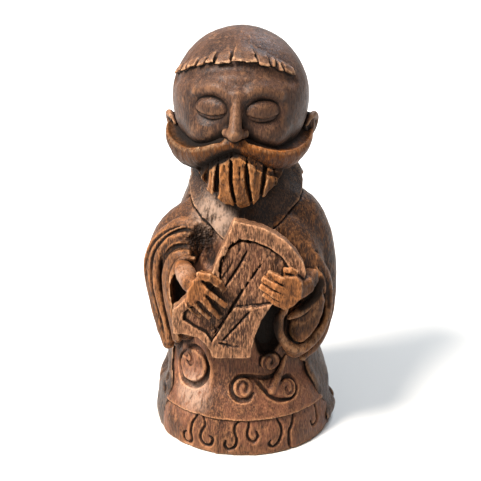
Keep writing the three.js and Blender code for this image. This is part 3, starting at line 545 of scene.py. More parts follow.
right_mass = bar((-12, -11, 102, 8.6), (-20, -9, 95.2, 9.4), (-28, -7.6, 86, 10.2), (-31, -8, 74, 9.8),
                 (-29.4, -9, 61, 9), (-27, -11, 49, 7.4), (-26, -13, 43, 5))
right_front = bar((-14, -15, 98, 7.6), (-18.6, -16.4, 92.6, 9), (-24.4, -18, 86, 8.4), (-26, -18, 76, 7.6),
                  (-25.6, -19, 62, 7), (-24, -19, 51, 6))
right_lands = [ridge(radius, *between(one, other, share), ends=0.9) for radius, one, other, share in (
    (3, EDGE, FOLD_1, 0.25), (2, EDGE, FOLD_1, 0.7), (1.9, FOLD_1, FOLD_2, 0.45), (2.2, FOLD_3, RIM, 0.3),
    (2, FOLD_3, RIM, 0.6))]
right_cuts = [gouge(0.65, *FOLD_1), gouge(0.5, *FOLD_1, depth=0.9),
              gouge(1.3, *between(FOLD_2, FOLD_3, 0.55)),
              gouge(1.0, *between(FOLD_2, FOLD_3, 0.5), depth=1.7),
              gouge(0.55, *between(EDGE, FOLD_1, 0.45)[1:6])]
right_sleeve = join(join(right_mass, right_front, k=2), *right_lands, k=0.8)
right_hollow = join(
    bar((-21, -27, 84, 3), (-25.2, -27.6, 77, 4.5), (-25.8, -27.4, 69, 4.5), (-25.2, -28, 60, 3.8),
        (-24.4, -28, 52, 3)),
    bar((-23, -24, 80, 3), (-25, -23.6, 74, 4), (-25, -23.6, 66, 4), (-24, -25, 58, 3)))
right_sleeve = cut(cut(right_sleeve, right_hollow, *right_cuts, k=0.3), chest_hollow, k=1.2)
right_sleeve = stippled(sleeve_cloth(right_sleeve), **punched)
right_cuff = rough(cut(ridge(1.7, *RIM), right_hollow, k=0.3), (0.2, (3, 3, 5)))

left_mass = bar((12.6, -11, 104, 9), (21.2, -8.8, 98, 10.2), (26.4, -7.6, 88, 10.2), (29.2, -7, 75, 9.8),
                (29.2, -8.6, 63, 9.4), (27.4, -10.6, 51, 8.2), (25, -13.4, 43, 6))
left_front = bar((8, -16.4, 99, 7.6), (16, -17, 94.6, 8.2), (22, -17, 87, 8.4), (25, -17.4, 76, 8.6),
                 (26, -17, 62, 8.4), (24, -19, 52, 7))
# The lip of the left sleeve's mouth, from its outer side down, and round to the hand.
LIP = [(36.6, -21, 67.6), (35.9, -22.4, 58.6), (32.2, -25.6, 50.6), (27.4, -28.8, 46.4), (22.4, -31.4, 45.6),
       (17.6, -33, 49.8), (15.4, -34.4, 55.4), (15.2, -35, 61), (17.4, -36, 66.4)]
left_folds = [
    ridge(3.0, (27, -18, 92), (33, -13, 86), (37.4, -11, 76), (38.9, -11, 66), (38.4, -13, 58.4),
          (36, -17, 50), (32, -20, 42.8), (25.6, -24, 38.4)),
    ridge(2.6, (27, -24, 89), (32.4, -22.6, 80.4), (36.2, -20.6, 71), *LIP[1:4], (22.4, -30, 43.6),
          (17.6, -32, 47.4)),
    ridge(2.3, *LIP),
    ridge(1.8, (30.4, -25, 80.6), (32.4, -25.6, 76), (33.2, -25.6, 71), (33, -26, 66)),
]
left_sleeve = join(join(left_mass, left_front, k=2), *left_folds, k=0.8)
mouth_hollow = bar((32.6, -27, 71, 1.4), (32.6, -26.6, 64, 3), (30, -28.4, 56.6, 3.6), (25, -31, 52.6, 3.8),
                   (20, -33, 55, 3.6), (19, -34.4, 61, 3))
mouth_deep = bar((31.6, -24, 66, 2.4), (30, -24, 57, 3), (24, -27, 53, 3))
LEFT_GROOVE = [(29, -25.6, 83), (33, -24.2, 77), (35, -23.2, 70), (35, -23.2, 62)]
left_cuts = [
    gouge(0.9, (29, -22.6, 86.6), (32.8, -21, 83.4), (36, -18.4, 76), (37.6, -17, 67), (37.2, -18, 58),
          (34, -21, 48)),
    gouge(1.1, *LEFT_GROOVE, depth=0.5),
]
# The broad fold inside the mouth, seen from the front.
PANEL = [(18.2, 62.5), (24, 65.5), (31.6, 71), (33.2, 66), (32.2, 60.4), (30, 55.6), (27, 51.6),
         (23.8, 48.6), (20.6, 48.4), (18.6, 51), (17.7, 56)]
panel_swell = bar((28, -18.4, 72, 10), (26.4, -20, 62, 10.2), (25, -20.6, 52, 10))
left_panel = overlap(plate(PANEL, -40, -14, 0.5), panel_swell, k=1)
left_sleeve = cut(cut(left_sleeve, *left_cuts, k=0.35), mouth_hollow, mouth_deep, k=0.05)
left_sleeve = sleeve_cloth(join(left_sleeve, left_panel, k=0.1))
# The rim of the left cuff, from its top down.
CUFF_RIM = [(31.4, -24, 79), (32.6, -25.2, 75), (31.8, -26.8, 70.9), (29.8, -28.8, 67.4),
            (26.4, -30.8, 64.5), (22.5, -32, 62.2), (18.6, -32.6, 60.9)]
left_cuff = join(ridge(1.8, *CUFF_RIM), bar((27.4, -21.6, 74, 3.8), (26, -24, 66, 3.8)), k=0.6)
left_cuff = rough(left_cuff, (0.15, (3, 3, 6)))

# The cowl.

cowl_back = plate(above_foot, -8, CLEAR)
shoulders = join(bar((-12, -11, 103, 9), (-20.8, -9, 96.4, 10.2), (-27, -7.6, 87, 10.2)),
                 bar((12.6, -11, 104, 9), (21.6, -8.8, 98, 10.2), (27.2, -7.6, 88, 10.2)))
nape_fold = bar((16.8, -3, 118, 4.8), (18.8, -3.4, 112, 6), (20.6, -4, 106, 6.8), (22.6, -5, 100, 7.4))
cowl = join(trunk(1.1, 80, NECK), grown(shoulders, 0.5), nape_fold, k=4)
cowl = overlap(cowl, join(cowl_edge, cowl_back), k=0.3)
cowl_fold = bar((-2, -29, 92, 0.7), (-1.6, -27, 98, 0.8), (-1, -25, 104, 0.6))
cowl_collar = cloth(cut(cowl, cowl_fold, k=0.8))

# The head, in its own frame.

HEAD_RADII = np.array([27.6, 26, 28.6])
HEAD_CENTRE = Vector((-1.3, -4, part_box("head")[1].z / MM - HEAD_RADII[2]))
head_turn = Euler((0, math.radians(2.5), math.radians(-4)))
head_place = Matrix.Translation(HEAD_CENTRE) @ head_turn.to_matrix().to_4x4()
skull = ball((0, 0, 0), HEAD_RADII)
EYE_DEG = 24
NOSE_BASE = -9.4
BROW = 5.5
FRINGE = 14.5


def on_head(degrees, z, out=0.0):
    """A point on the skull: degrees round from the nose towards the figure's left."""
    level = math.sqrt(max(0.02, 1 - (z / HEAD_RADII[2])**2))
    s, c = math.sin(math.radians(degrees)), math.cos(math.radians(degrees))
    radius = level / math.hypot(s / HEAD_RADII[0], c / HEAD_RADII[1]) + out
    return radius * s, -radius * c, z


def both(make):
    """What make gives for the viewer's left, -1, and the viewer's right, 1."""
    return [make(side) for side in (-1, 1)]


def eye_socket(side):
    return ball(on_head(side * EYE_DEG, 1.2, 2.4), (9.4, 5, 7), (0, 0, side * EYE_DEG))


def cheek(side):
    return ball(on_head(side * 36, -9, -4.6), (9, 6.6, 7), (0, 0, side * 36))


def brow(side):
    return bar_on(on_head, [(side * 6, BROW + 0.6, -1, 2.4), (side * 20, BROW + 3, -1.2, 2.6),
                            (side * 40, BROW + 0.8, -1.4, 2.2)])


def eyelid(side):
    """A calm, closed eye: one low, soft lid with the line of the lashes along its foot."""
    size = (7.6, 3.6, 4.8)

    def on_lid(across, up):
        x, z = across * size[0], up * size[2]
        return x, -size[1] * math.sqrt(max(0.05, 1 - across**2 - up**2)), z
    steps = (-1, -0.5, 0, 0.5, 1)
    lashes = bar(*[(*on_lid(k * 0.86, -0.3 - 0.3 * (1 - k * k)), 0.55 - 0.25 * abs(k)) for k in steps])
    lid = cut(ball((0, 0, 0), size), lashes, k=0.35)
    turn = Matrix.Rotation(math.radians(side * EYE_DEG), 4, "Z")
    place = Matrix.Translation(on_head(side * EYE_DEG, 0.2, -2.9)) @ turn
    return rough(placed(lid, place), (0.08, 2.5))


# The nose: degrees, height, how far out and radius, down its ridge and then across its wings.
NOSE_RIDGE = [(0, BROW + 1, -0.8, 2.6), (0, 0, 1.4, 2.2), (0, NOSE_BASE + 2.2, 5.6, 2.8)]
NOSE_WINGS = [(-7.2, NOSE_BASE + 1.4, 1.8, 1.9), (0, NOSE_BASE + 1.6, 4.4, 2.6),
              (7.2, NOSE_BASE + 1.4, 1.8, 1.9)]
nose_form = join(bar_on(on_head, NOSE_RIDGE), bar_on(on_head, NOSE_WINGS), k=1.4)

# The ears sit low, on the ends of the moustache. For each side: its foot's height over the nose's base.
EAR_FEET = {-1: -8.4, 1: -5.4}
EAR_HEIGHT = 8.4
EAR_RIM = [(92, -0.05, 3.8, 1.9), (98, 0.3, 4.8, 1.7), (100, 0.7, 4.6, 1.6), (95, 1, 3.2, 1.6),
           (88, 1, 1.8, 1.4), (85, 0.7, 1.1, 1.1)]


def ear(side):
    """A shell with a rolled rim, whose stations are degrees, share of the height, how far out, radius."""
    foot = NOSE_BASE + EAR_FEET[side]
    middle = foot + EAR_HEIGHT / 2
    rim = bar_on(on_head, [(side * d, foot + share * EAR_HEIGHT, out, r) for d, share, out, r in EAR_RIM])
    shell = ball(on_head(side * 96, middle, 1.6), (3.3, 4.2, 5.2))
    bowl = ball(on_head(side * 88, middle + 0.4, 4), (2.6, 2.8, 3.2))
    return rough(cut(join(rim, shell, k=0.8), bowl, k=0.6), (0.1, 2.0))


def fringe_foot(degrees):
    """Height of the fringe's lower edge, this many degrees round from the nose."""
    return FRINGE - 6 + 10 * np.cos(np.radians(degrees * 1.12))


# The locks: the borders between them round the brow, how far each foot is shifted and each face is raised.
LOCK_BORDERS = (-82, -74, -66, -58, -47, -38, -27, -8, 19, 33, 40, 47, 60)
LOCK_SHIFTS = (0, 0.3, -0.3, 0.2, -0.2, 0.3, -0.6, 0.4, 0, 0.4, -0.2, 0.1)
LOCK_LIFTS = (0, 0.3, 0, 0.3, 0, 0.35, 0.1, 0.5, 0.2, 0, 0.3, 0.1)


def fringe_distance(p):
    """A shell over the brow that is thick at its foot and runs out into the dome above."""
    degrees = np.degrees(np.arctan2(p[0], -p[1]))
    which = np.clip(np.searchsorted(LOCK_BORDERS, degrees) - 1, 0, len(LOCK_SHIFTS) - 1)
    up = p[2] - fringe_foot(degrees) - np.array(LOCK_SHIFTS)[which]
    height = 4.2 + 1.5 * np.cos(np.radians(degrees * 1.1))
    shell = skull(p) - np.interp(up / height, (0, 0.6, 1), (1.2, 1.0, -0.3)) - np.array(LOCK_LIFTS)[which]
    shell = np.maximum(shell, -3.4 - skull(p))
    ends = np.maximum(LOCK_BORDERS[0] - degrees, degrees - LOCK_BORDERS[-1]) * 0.45
    return np.maximum(np.maximum(shell, -up * 0.85), ends).astype(np.float32)


def lock_cut(degrees, lean):
    """The notch between two locks."""
    foot = fringe_foot(degrees)
    stations = ((lean, 6, 1.2, 0.3), (0.4 * lean, 2.4, 1.0, 0.55), (0, -1.2, 0.4, 0.8))
    return bar_on(on_head, [(degrees + turn, foot + up, out, r) for turn, up, out, r in stations], per_span=1)


fringe_shell = Form(fringe_distance, (-28, -30, 0), (28, -2, 28))
fringe_cuts = [lock_cut(d, 3 * math.sin(5 * i)) for i, d in enumerate(LOCK_BORDERS[1:-1])]
hair_fringe = rough(gouged(fringe_shell, 0.5, (3.4, 3.4, 4.4)), (0.2, 2.4))
hair_fringe = rough(cut(hair_fringe, *fringe_cuts, k=0.5), (0.1, 1.1))
under_fringe = bar_on(on_head, [(d, fringe_foot(d) - 1.2, 1.5, 2.1) for d in range(-80, 62, 8)])

face = join(skull, *both(cheek), k=3)
face = cut(face, *both(eye_socket), k=2.2)
face = join(cut(face, under_fringe, k=3), *both(brow), k=1.8)
nostrils = [ball(on_head(side * 4.2, NOSE_BASE - 0.6, 4.4), (1, 1.3, 0.9)) for side in (-1, 1)]
face = cut(join(face, nose_form, k=1.6), *nostrils, k=0.3)
head = rough(gouged(face, 0.2, (5.5, 5.5, 7)), (0.15, (7, 7, 10)), (0.05, 1.4))

# Each lobe of the moustache, by its side: degrees round from the nose, height, how far out, half width.
LOBES = {
    -1: [(-1, -2.2, 4.2, 2.8), (14, -4.7, 4, 3.9), (30, -8.4, 3.8, 5.3), (47, -11, 3.5, 6.1),
         (64, -10.8, 3.3, 5.9), (80, -8, 3.4, 4.8), (91, -5, 3.5, 2.9)],
    1: [(-1, -2.2, 4.2, 2.8), (14, -4.4, 3.9, 3.9), (31, -7.8, 3.5, 5.3), (50, -9.8, 3, 5.9),
        (67, -9, 2.8, 5.4), (82, -6.2, 2.8, 4.2), (93, -3.6, 2.7, 2.7)],
}


def lobe(side):
    """One long half of the moustache: a bar that swells over the cheek."""
    return bar_on(on_head, [(side * d, NOSE_BASE + z, out, r) for d, z, out, r in LOBES[side]])


def ledge(side):
    """The gouge that leaves a ledge along the cheek, on top of the lobe."""
    rows = []
    for (degrees, z, out, r), share in zip(LOBES[side][1:], (0.8, 1, 1, 1, 1, 1)):
        r = r * share
        rows.append((side * degrees, NOSE_BASE + z + r * 1.5, out - 0.9, r * 0.95))
    return bar_on(on_head, rows)


def moustache(side):
    form = cut(gouged(lobe(side), 0.35, (3.6, 3.6, 4.6)), ledge(side), k=0.15)
    return rough(form, (0.12, (4, 4, 3)), (0.08, 1.5))


# The lower edge of the moustache: distance from the middle, and height.
LOBE_FOOT = ((0, 6.6, 12.5, 18, 23), (-14.4, -18, -22.8, -26.2, -26.2))
BEARD_TOP = NOSE_BASE - 5


def beard_front(x, z):
    """How far forward the beard's surface lies; x and z may be arrays."""
    under = np.maximum(0, z - np.interp(np.abs(x), *LOBE_FOOT) + 1.6)
    return -31.6 + 0.030 * (x - 2)**2 + 0.012 * np.maximum(0, -22 - z)**2 + 0.9 * under


def under_lobe(side, radius, count):
    """The deep cut between a lobe of the moustache and the beard below it."""
    rows = []
    for degrees, z, out, r in LOBES[side][:count]:
        x, _, height = on_head(side * degrees, NOSE_BASE + z, out)
        low = height - r - 0.3 * radius
        rows.append((x, float(beard_front(x, low)) + 0.6, low, radius))
    return bar(*rows)


def beard_slot(*places):
    """The cut between two locks, like a long leaf, through (x, z, half width) places."""
    rows = [(x, float(beard_front(x, z)) + 0.2, z, r) for x, z, r in places]
    return join(*[bar(*[(x, y + deeper, z, r * shrink) for x, y, z, r in rows], per_span=2)
                  for deeper, shrink in ((0, 1), (1.1, 0.92), (2.2, 0.8), (3.3, 0.62))])


# The beard's ragged outline, and the slots and scratches that part it into locks.
BEARD_OUTLINE = [
    (-11, -11.6), (-18, -17), (-17.4, -21), (-15.6, -24.8), (-14.2, -27.6), (-12.6, -28.6), (-10.6, -32),
    (-8.6, -33.6), (-6.8, -33.6), (-5, -35.4), (-3, -36.8), (-0.6, -36.4), (1.2, -37.4), (3.9, -38.6),
    (6.4, -37.2), (8.6, -36.4), (10.4, -34), (12.8, -32.8), (14.6, -30.4), (17, -28.4), (18.6, -25.4),
    (20.6, -21.6), (19.6, -16), (12, -11.6),
]
BEARD_SLOTS = [
    [(-13.6, -20, 0.2), (-13.8, -23, 0.7), (-14, -26, 1), (-13.6, -28.6, 0.8)],
    [(-9.8, -18.6, 0.35), (-10.2, -22.6, 0.85), (-10.9, -27, 1.3), (-11.2, -31, 1.3)],
    [(-5.8, -16.4, 0.35), (-6.1, -21, 0.85), (-6.3, -26.6, 1.35), (-6.5, -31, 1.3), (-6.8, -36, 1.1)],
    [(-0.9, -13, 0.35), (-0.8, -19, 0.75), (-0.6, -26, 0.9), (0.2, -31, 0.95), (1.3, -36.5, 0.8),
     (1.6, -39.5, 0.9)],
    [(4.9, -15.4, 0.35), (5.2, -21, 0.85), (5.6, -26, 1.1), (6.4, -30, 1.0), (7.5, -34, 0.9),
     (7.8, -38, 0.9)],
    [(11.5, -15, 0.35), (12, -19, 0.9), (12.1, -23, 1.25), (11.8, -27, 1.05), (11.2, -31, 0.9),
     (11, -34, 0.8)],
    [(14, -16.4, 0.2), (15, -21.6, 0.45), (16.6, -28, 0.5)],
]
BEARD_SCRATCHES = [
    [(-3.2, -16.4, 0.15), (-3.5, -24, 0.35), (-3.2, -31, 0.2)],
    [(2.4, -15, 0.15), (2.6, -22, 0.35), (3.2, -31, 0.2)],
    [(8.4, -16, 0.15), (8.8, -22.4, 0.35), (9, -29, 0.2)],
    [(-8.2, -19, 0.15), (-8.5, -25, 0.3), (-8.8, -30, 0.2)],
]
beard_edge = plate(BEARD_OUTLINE, -40, -6)
beard_face = Form(lambda p: (beard_front(p[0], p[2]) - p[1]) * 0.75, (-24, -34, -41),
                  (24, -6, BEARD_TOP + 3))
beard_mass = join(ball((0.6, -14, BEARD_TOP - 1), (22, 19, 13)), ball((2, -16, -27), (18, 17, 15)), k=4)
lobe_cuts = [under_lobe(-1, 1.9, 5), under_lobe(1, 1.1, 4)]
beard = overlap(overlap(beard_face, beard_mass, k=1), beard_edge, k=0.5)
beard = cut(gouged(beard, 0.4, (2.6, 2.6, 6)), *lobe_cuts, k=0.3)
beard = cut(beard, *[beard_slot(*line) for line in BEARD_SLOTS + BEARD_SCRATCHES], k=0.15)
beard = rough(beard, (0.3, (2, 2, 5)), (0.12, 1.2))

# The lyre, in its own frame.

LYRE_LEAN = 6
LYRE_CENTRE = (0, -40.3, HEM + 58.3)
lyre_turn = Euler((math.radians(-LYRE_LEAN), 0, 0))
lyre_place = Matrix.Translation(LYRE_CENTRE) @ lyre_turn.to_matrix().to_4x4()
LYRE_THICKNESS = 8
PANEL_RECESS = 1.7
# The lyre's outline and its sunk field, in (x, z).
LYRE_OUTLINE = [
    (-4, 29.8), (1.8, 28.6), (7.6, 26.8), (12.4, 24.4), (16.8, 21.2), (20.5, 17), (23.4, 12.6), (24.6, 8.5),
    (23, 3.5), (17, -0.5), (11, -5), (6.8, -11.2), (4.4, -17.5), (3.3, -23), (2.8, -27.2), (-12.8, -27.2),
    (-13.6, -24.6), (-15.4, -21.4), (-18.8, -18.4), (-23, -17.2), (-28.6, -16.8), (-29, -11.5),
    (-28.4, -6.6), (-20.5, 0.8), (-13.2, 7.8), (-11.2, 13.4), (-8.6, 19.6),
]
FIELD = [
    (-1.6, 22.4), (4.8, 21.2), (10.6, 18.4), (15.4, 14.4), (18.4, 9.2), (17.6, 3), (12.2, -4), (-4.4, -5.8),
    (-13, -20.6), (-15.4, -16.6), (-20.2, -13.6), (-24.4, -10.6), (-24, -8), (-16.8, -1.6), (-9.8, 5.4),
    (-9, 11.6), (-6.4, 18),
]


def groove(radius, *points, y=0.0):
    """A cut along (x, z) points of the lyre, thin at its ends."""
    radii = [radius * 0.5] + [radius] * (len(points) - 2) + [radius * 0.5]
    return bar(*[(x, y, z, r) for (x, z), r in zip(points, radii)])


def deep_cut(radius, depth, *points, y=0.0):
    """A narrow cut, deeper than it is wide."""
    count = max(2, int(math.ceil(depth / radius)))
    return join(*[groove(radius * (1 - 0.4 * i / count), *points, y=y + i * depth / count)
                  for i in range(count)])


lyre_blank = plate(LYRE_OUTLINE, 0, LYRE_THICKNESS, 0.3)
field = plate(FIELD, -3, PANEL_RECESS, 0.3)
# The strings, cut into the sunk panel, and the lines that frame them.
strings = [
    deep_cut(0.42, 1.3, (1.2, 17.4), (-3, 9.6), (-7.9, 2.2), y=PANEL_RECESS),
    groove(0.35, (-1.6, 18.2), (-6, 10.4), (-9.6, 4.6), y=PANEL_RECESS),
    deep_cut(0.45, 1.6, (11, 17.4), (2, 5), (-6, -8), (-11.8, -16.8), y=PANEL_RECESS - 0.4),
    deep_cut(0.4, 1.1, (6.4, -2.8), (-1, -11), (-8.4, -19.4), y=0.1),
    deep_cut(0.45, 1.0, (-3.8, -5.8), (4, -5.2), (11.8, -3.8), y=0.1),
    deep_cut(0.35, 0.7, (-10.8, -20.4), (-6.6, -21.6), (-2.4, -22.2), y=0.1),
    deep_cut(0.55, 2.2, (-9.4, 1.6), (-9.6, 9.6), (-7.6, 16.6), (-2.4, 21.4), (3, 20.8),
             y=PANEL_RECESS - 0.6),
]
hatches = [groove(0.5, (-20 + i * 2.4, -10.4 - i * 0.9), (-17.4 + i * 2.3, -12.8 - i * 1.2), y=PANEL_RECESS)
           for i in range(5)]
striae = [groove(0.32, (-1.6 + i * 1.5, -8.4 - i * 0.3), (-3 + i * 0.9, -26)) for i in range(1, 7)]
NICKS = ((0.4, 27.6), (5, 26.4), (10, 24), (15, 20.4), (19.6, 15.4))
nicks = [groove(0.35, (x, z), (x + 1.2, z - 5)) for x, z in NICKS]
lyre_frame = gouged(cut(lyre_blank, field, *strings, *striae, *nicks, k=0.15), 0.32, (3, 3, 6))
lyre_frame = rough(lyre_frame, (0.2, (2.6, 2.6, 6)), (0.16, (1.1, 1.1, 3)))
lyre_soundboard = plate([(x * 0.97, z * 0.97) for x, z in FIELD], PANEL_RECESS - 0.3, 6, 0.3)
lyre_soundboard = cut(lyre_soundboard, *strings, *hatches, k=0.2)
lyre_soundboard = rough(lyre_soundboard, (0.34, (2, 2, 8)), (0.2, (0.9, 0.9, 2.4)))

# The hands, in the lyre's frame.

FINGER = 1.7


def finger(*stations):
    """A finger from the knuckle to the tip, cut square."""
    return whittled(*[(x, -out, z, FINGER * share) for x, out, z, share in stations])


# The back of the right hand, in (x, z).
RIGHT_BACK = [
    (-16.6, 10.4), (-14.6, 8), (-15, 4.6), (-14, 2.6), (-16, -1), (-18.4, -1.4), (-20.6, -3.4), (-23, -1.6),
    (-22.6, 3), (-20.6, 7),
]
# The slots between the right hand's fingers: half width, and points from the knuckles down.
RIGHT_SLOTS = [
    (1.05, [(-16.3, 7), (-13.2, 4.5), (-9.9, 1.7), (-6.9, -0.2)]),
    (1.1, [(-14.1, 0.4), (-11.7, -2.7), (-9.9, -5.3), (-8.4, -7.8)]),
    (0.6, [(-18.1, -2.4), (-15.7, -5), (-13.3, -7.5)]),
    (0.6, [(-22, -2.7), (-19.6, -5.6), (-16.9, -8.2)]),
]
right_hand = join(
    join(plate(RIGHT_BACK, -6.2, 0, 0.9),
         bar((-24.6, 8.4, 8.8, 3.4), (-23.4, 3.4, 7.8, 4.1), (-21.2, -1.2, 5.4, 4.1)), k=0.8),
    finger((-17.8, 4.2, 8.8, 1.1), (-13.6, 4.8, 8.6, 1.1), (-10.2, 4.2, 6, 0.95), (-8.4, 2.8, 2.6, 0.7)),
    finger((-17.7, 4.4, 5.4, 0.72), (-14.7, 5.4, 3, 0.75), (-11.1, 4.8, -0.2, 0.7), (-7.4, 2.8, -4, 0.58)),
    finger((-18, 4.6, 2.6, 0.88), (-15.9, 5.4, -0.4, 0.88), (-13, 4.6, -4.3, 0.84), (-10, 2.6, -8.4, 0.68)),
    finger((-20.6, 4.2, 0, 0.6), (-19.4, 5.0, -2.6, 0.6), (-16.9, 4.2, -5.7, 0.55), (-14, 2.6, -9.1, 0.44)),
    finger((-23, 3.6, -0.8, 0.52), (-22.4, 4.2, -3.4, 0.52), (-20.1, 3.6, -6, 0.48),
           (-17.5, 2.4, -8.4, 0.38)),
    k=0.1)
# The back of the left hand.
LEFT_BACK = [
    (15.6, 9.4), (20.4, 9), (22.9, 6.1), (22.6, 0), (19, -3.6), (16.4, -4.9), (13.4, -2.6), (13.4, 1),
    (14.8, 4.6),
]
left_hand = join(
    join(plate(LEFT_BACK, -6.2, 0.5, 0.9),
         whittled((27.2, 10, 4.6, 3), (24.8, 4, 3.2, 3.6), (20.8, 0, 1.8, 4), round_by=0.6), k=1.0),
    finger((20.4, 3.2, 9.6, 0.85), (18, 3.8, 11, 0.8), (15.8, 3, 10.8, 0.65)),
    finger((19.6, 4.6, 5.2, 0.9), (14.4, 5.4, 7.6, 0.88), (9.6, 3, 9.6, 0.7)),
    finger((17.4, 5.2, 2.2, 0.85), (12.2, 5.8, 5, 0.86), (7.5, 3.2, 7.4, 0.7)),
    finger((16.2, 5.2, -0.8, 0.85), (11, 5.6, 2, 0.85), (6.8, 3.1, 4.4, 0.68)),
    finger((15.6, 4.6, -3.4, 0.8), (11.4, 4.8, -1.2, 0.8), (8, 2.8, 0.9, 0.62)),
    k=0.12)
right_hand = cut(right_hand, *[deep_cut(r, 5, *line, y=-5.6) for r, line in RIGHT_SLOTS], k=0.1)
right_hand, left_hand = [rough(gouged(hand, 0.3, (2.2, 2.2, 2.6)), (0.12, 2.2), (0.1, 1.0))
                         for hand in (right_hand, left_hand)]

# Pieces.

# The pieces in groups: slot, finish, the frame they are made in, and their forms by the model's node.
GROUPS = [
    ("robe_wood", "robe_wood", None, {"hem_band": hem_band, "robe_front": robe_front,
                                      "spiral_roundel": spiral_roundel, "triskele": triskele}),
    ("cloak_wood", "cloak_wood", None, {"cloak": cloak, "cowl_collar": cowl_collar}),
    ("cloak_wood", "sleeve_wood", None, {"right_sleeve": right_sleeve, "right_cuff": right_cuff,
                                         "left_sleeve": left_sleeve, "left_cuff": left_cuff}),
    ("skin_wood", "head_wood", head_place, {"head": head, "right_eye": eyelid(-1), "left_eye": eyelid(1),
                                            "right_ear": ear(-1), "left_ear": ear(1)}),
    ("hair_wood", "head_wood", head_place, {"hair_fringe": hair_fringe}),
    ("hair_wood", "right_lobe_shaded_wood", head_place, {"right_moustache": moustache(-1)}),
    ("hair_wood", "left_lobe_wood", head_place, {"left_moustache": moustache(1)}),
    ("hair_wood", "hair_wood", head_place, {"beard": beard}),
    ("lyre_wood", "lyre_wood", lyre_place, {"lyre_frame": lyre_frame, "lyre_soundboard": lyre_soundboard}),
    ("skin_wood", "skin_wood", lyre_place, {"right_hand": right_hand, "left_hand": left_hand}),
]
FORMS = {node: form if place is None else placed(form, place)
         for _, _, place, forms in GROUPS for node, form in forms.items()}


def slot_shade(radius, points):
    """Painted shade in a slot that slopes down as it goes in."""
    return join(*[groove(radius * 1.25, *[(x, z - 0.5 * depth) for x, z in points], y=depth - 4.4)
                  for depth in range(9)])


# Painted shade: under the moustache, between the fingers, in the robe and in the left sleeve.
painted_shade_places = join(
    placed(grown(lobe_cuts[0], 0.7), head_place),
    *[placed(slot_shade(r, line), lyre_place) for r, line in RIGHT_SLOTS],
    grown(side_hollow, 1),
    bar((31, -27, 74, 2.6), (28, -28.6, 69.6, 3.4), (23.6, -31, 66.6, 3)),
    bar((17, -33, 62, 1), (16.8, -32.4, 55.6, 1.1), (18.6, -31, 50.4, 0.9)),
    bar((24.4, -29.6, 48.6, 0.7), (28.4, -27.6, 52.4, 1.3), (31.8, -25.6, 57.6, 1.8),
        (33.4, -24.6, 63, 1.8)),
    bar(*[(*point, r) for point, r in zip(LEFT_GROOVE, (0.6, 1.3, 1.5, 1))]))


def band_round(tool, low, high):
    """The places this far outside a tool's cut."""
    def distance(p):
        return np.abs(tool(p) - (low + high) / 2) - (high - low) / 2
    return Form(distance, tool.low - high, tool.high + high)


def worn_and_lit_rim(side):
    """The rim of the ledge along the top of a lobe."""
    return placed(overlap(band_round(ledge(side), 0.5, 1.5), grown(lobe(side), 0.5)), head_place)


# Where handling has worn the stain off, with a painted highlight there too: the moustache's rims, and the lip
# and the rim of the left sleeve.
worn_and_lit_edges = join(
    *both(worn_and_lit_rim),
    band_round(mouth_hollow, 0.3, 1.5),
    bar(*[(x, y, z, 1.6) for x, y, z in LIP[1:7]]),
    bar(*[(*point, r) for point, r in zip(CUFF_RIM[1:], (0.8, 1, 1.2, 1.2, 1.2, 1))]))


def sculpt(form):
    """Samples a form near its surface. Returns the first voxel's index and the block of distances."""
    side = CELL * STEP
    first = np.floor((form.low - 2 * STEP) / side).astype(int)
    last = np.ceil((form.high + 2 * STEP) / side).astype(int)
    counts = last - first
    middles = [(np.arange(n) + f + 0.5) * side - STEP / 2 for n, f in zip(counts, first)]
    grid = np.meshgrid(*middles, indexing="ij")
    coarse = form(tuple(g.ravel().astype(np.float32) for g in grid)).reshape(counts)
    block = np.repeat(np.repeat(np.repeat(np.clip(coarse, -BAND, BAND), CELL, 0), CELL, 1), CELL, 2)
    block = np.where(block < 0, -BAND, BAND).astype(np.float32)
    cells = np.argwhere(np.abs(coarse) < REACH)
    view = block.reshape(counts[0], CELL, counts[1], CELL, counts[2], CELL)
    inner = np.stack(np.meshgrid(*[np.arange(CELL)] * 3, indexing="ij"), -1).reshape(-1, 3)
    for start in range(0, len(cells), CELLS_AT_ONCE):
        some = cells[start:start + CELLS_AT_ONCE]
        index = ((some + first) * CELL)[:, None, :] + inner[None]
        point = tuple((index[..., c] * STEP).ravel().astype(np.float32) for c in range(3))
        values = np.clip(form(point), -BAND, BAND).reshape(-1, CELL, CELL, CELL)
        view[some[:, 0], :, some[:, 1], :, some[:, 2], :] = values
    return first * CELL, block


with ThreadPoolExecutor(THREADS) as pool:
    blocks = dict(zip(FORMS, pool.map(sculpt, FORMS.values())))

# The whole carving as one block, to find its hollows and its edges.
MARGIN = 3 * CELL
grid_low = np.min([first for first, _ in blocks.values()], 0) - MARGIN
grid_high = np.max([first + block.shape for first, block in blocks.values()], 0) + MARGIN
whole = np.full(grid_high - grid_low, BAND, np.float32)
for first, block in blocks.values():
    part = whole[tuple(slice(start, start + size) for start, size in zip(first - grid_low, block.shape))]
    np.minimum(part, block, out=part)
filled = np.clip(0.5 - whole / STEP, 0, 1)


def blurred(values, sigma):
    """Gaussian blur along all three axes; sigma is in voxels."""
    reach = int(math.ceil(2.5 * sigma))
    weights = np.exp(-0.5 * (np.arange(-reach, reach + 1) / sigma)**2)
    weights /= weights.sum()
    for axis in range(3):
        out = np.zeros_like(values)
        n = values.shape[axis]
        for shift, w in zip(range(-reach, reach + 1), weights.astype(np.float32)):
            src = [slice(None)] * 3
            dst = [slice(None)] * 3
            src[axis] = slice(max(0, shift), n + min(0, shift))
            dst[axis] = slice(max(0, -shift), n + min(0, -shift))
            out[tuple(dst)] += w * values[tuple(src)]
        values = out
    return values


# How far edges and hollows spread into the stain and into the painted shade, in mm, and the hollows' coarser
# grid, in voxels.
EDGE_BLUR = 0.8
HOLLOW_BLUR = 3.6
COARSE = 4
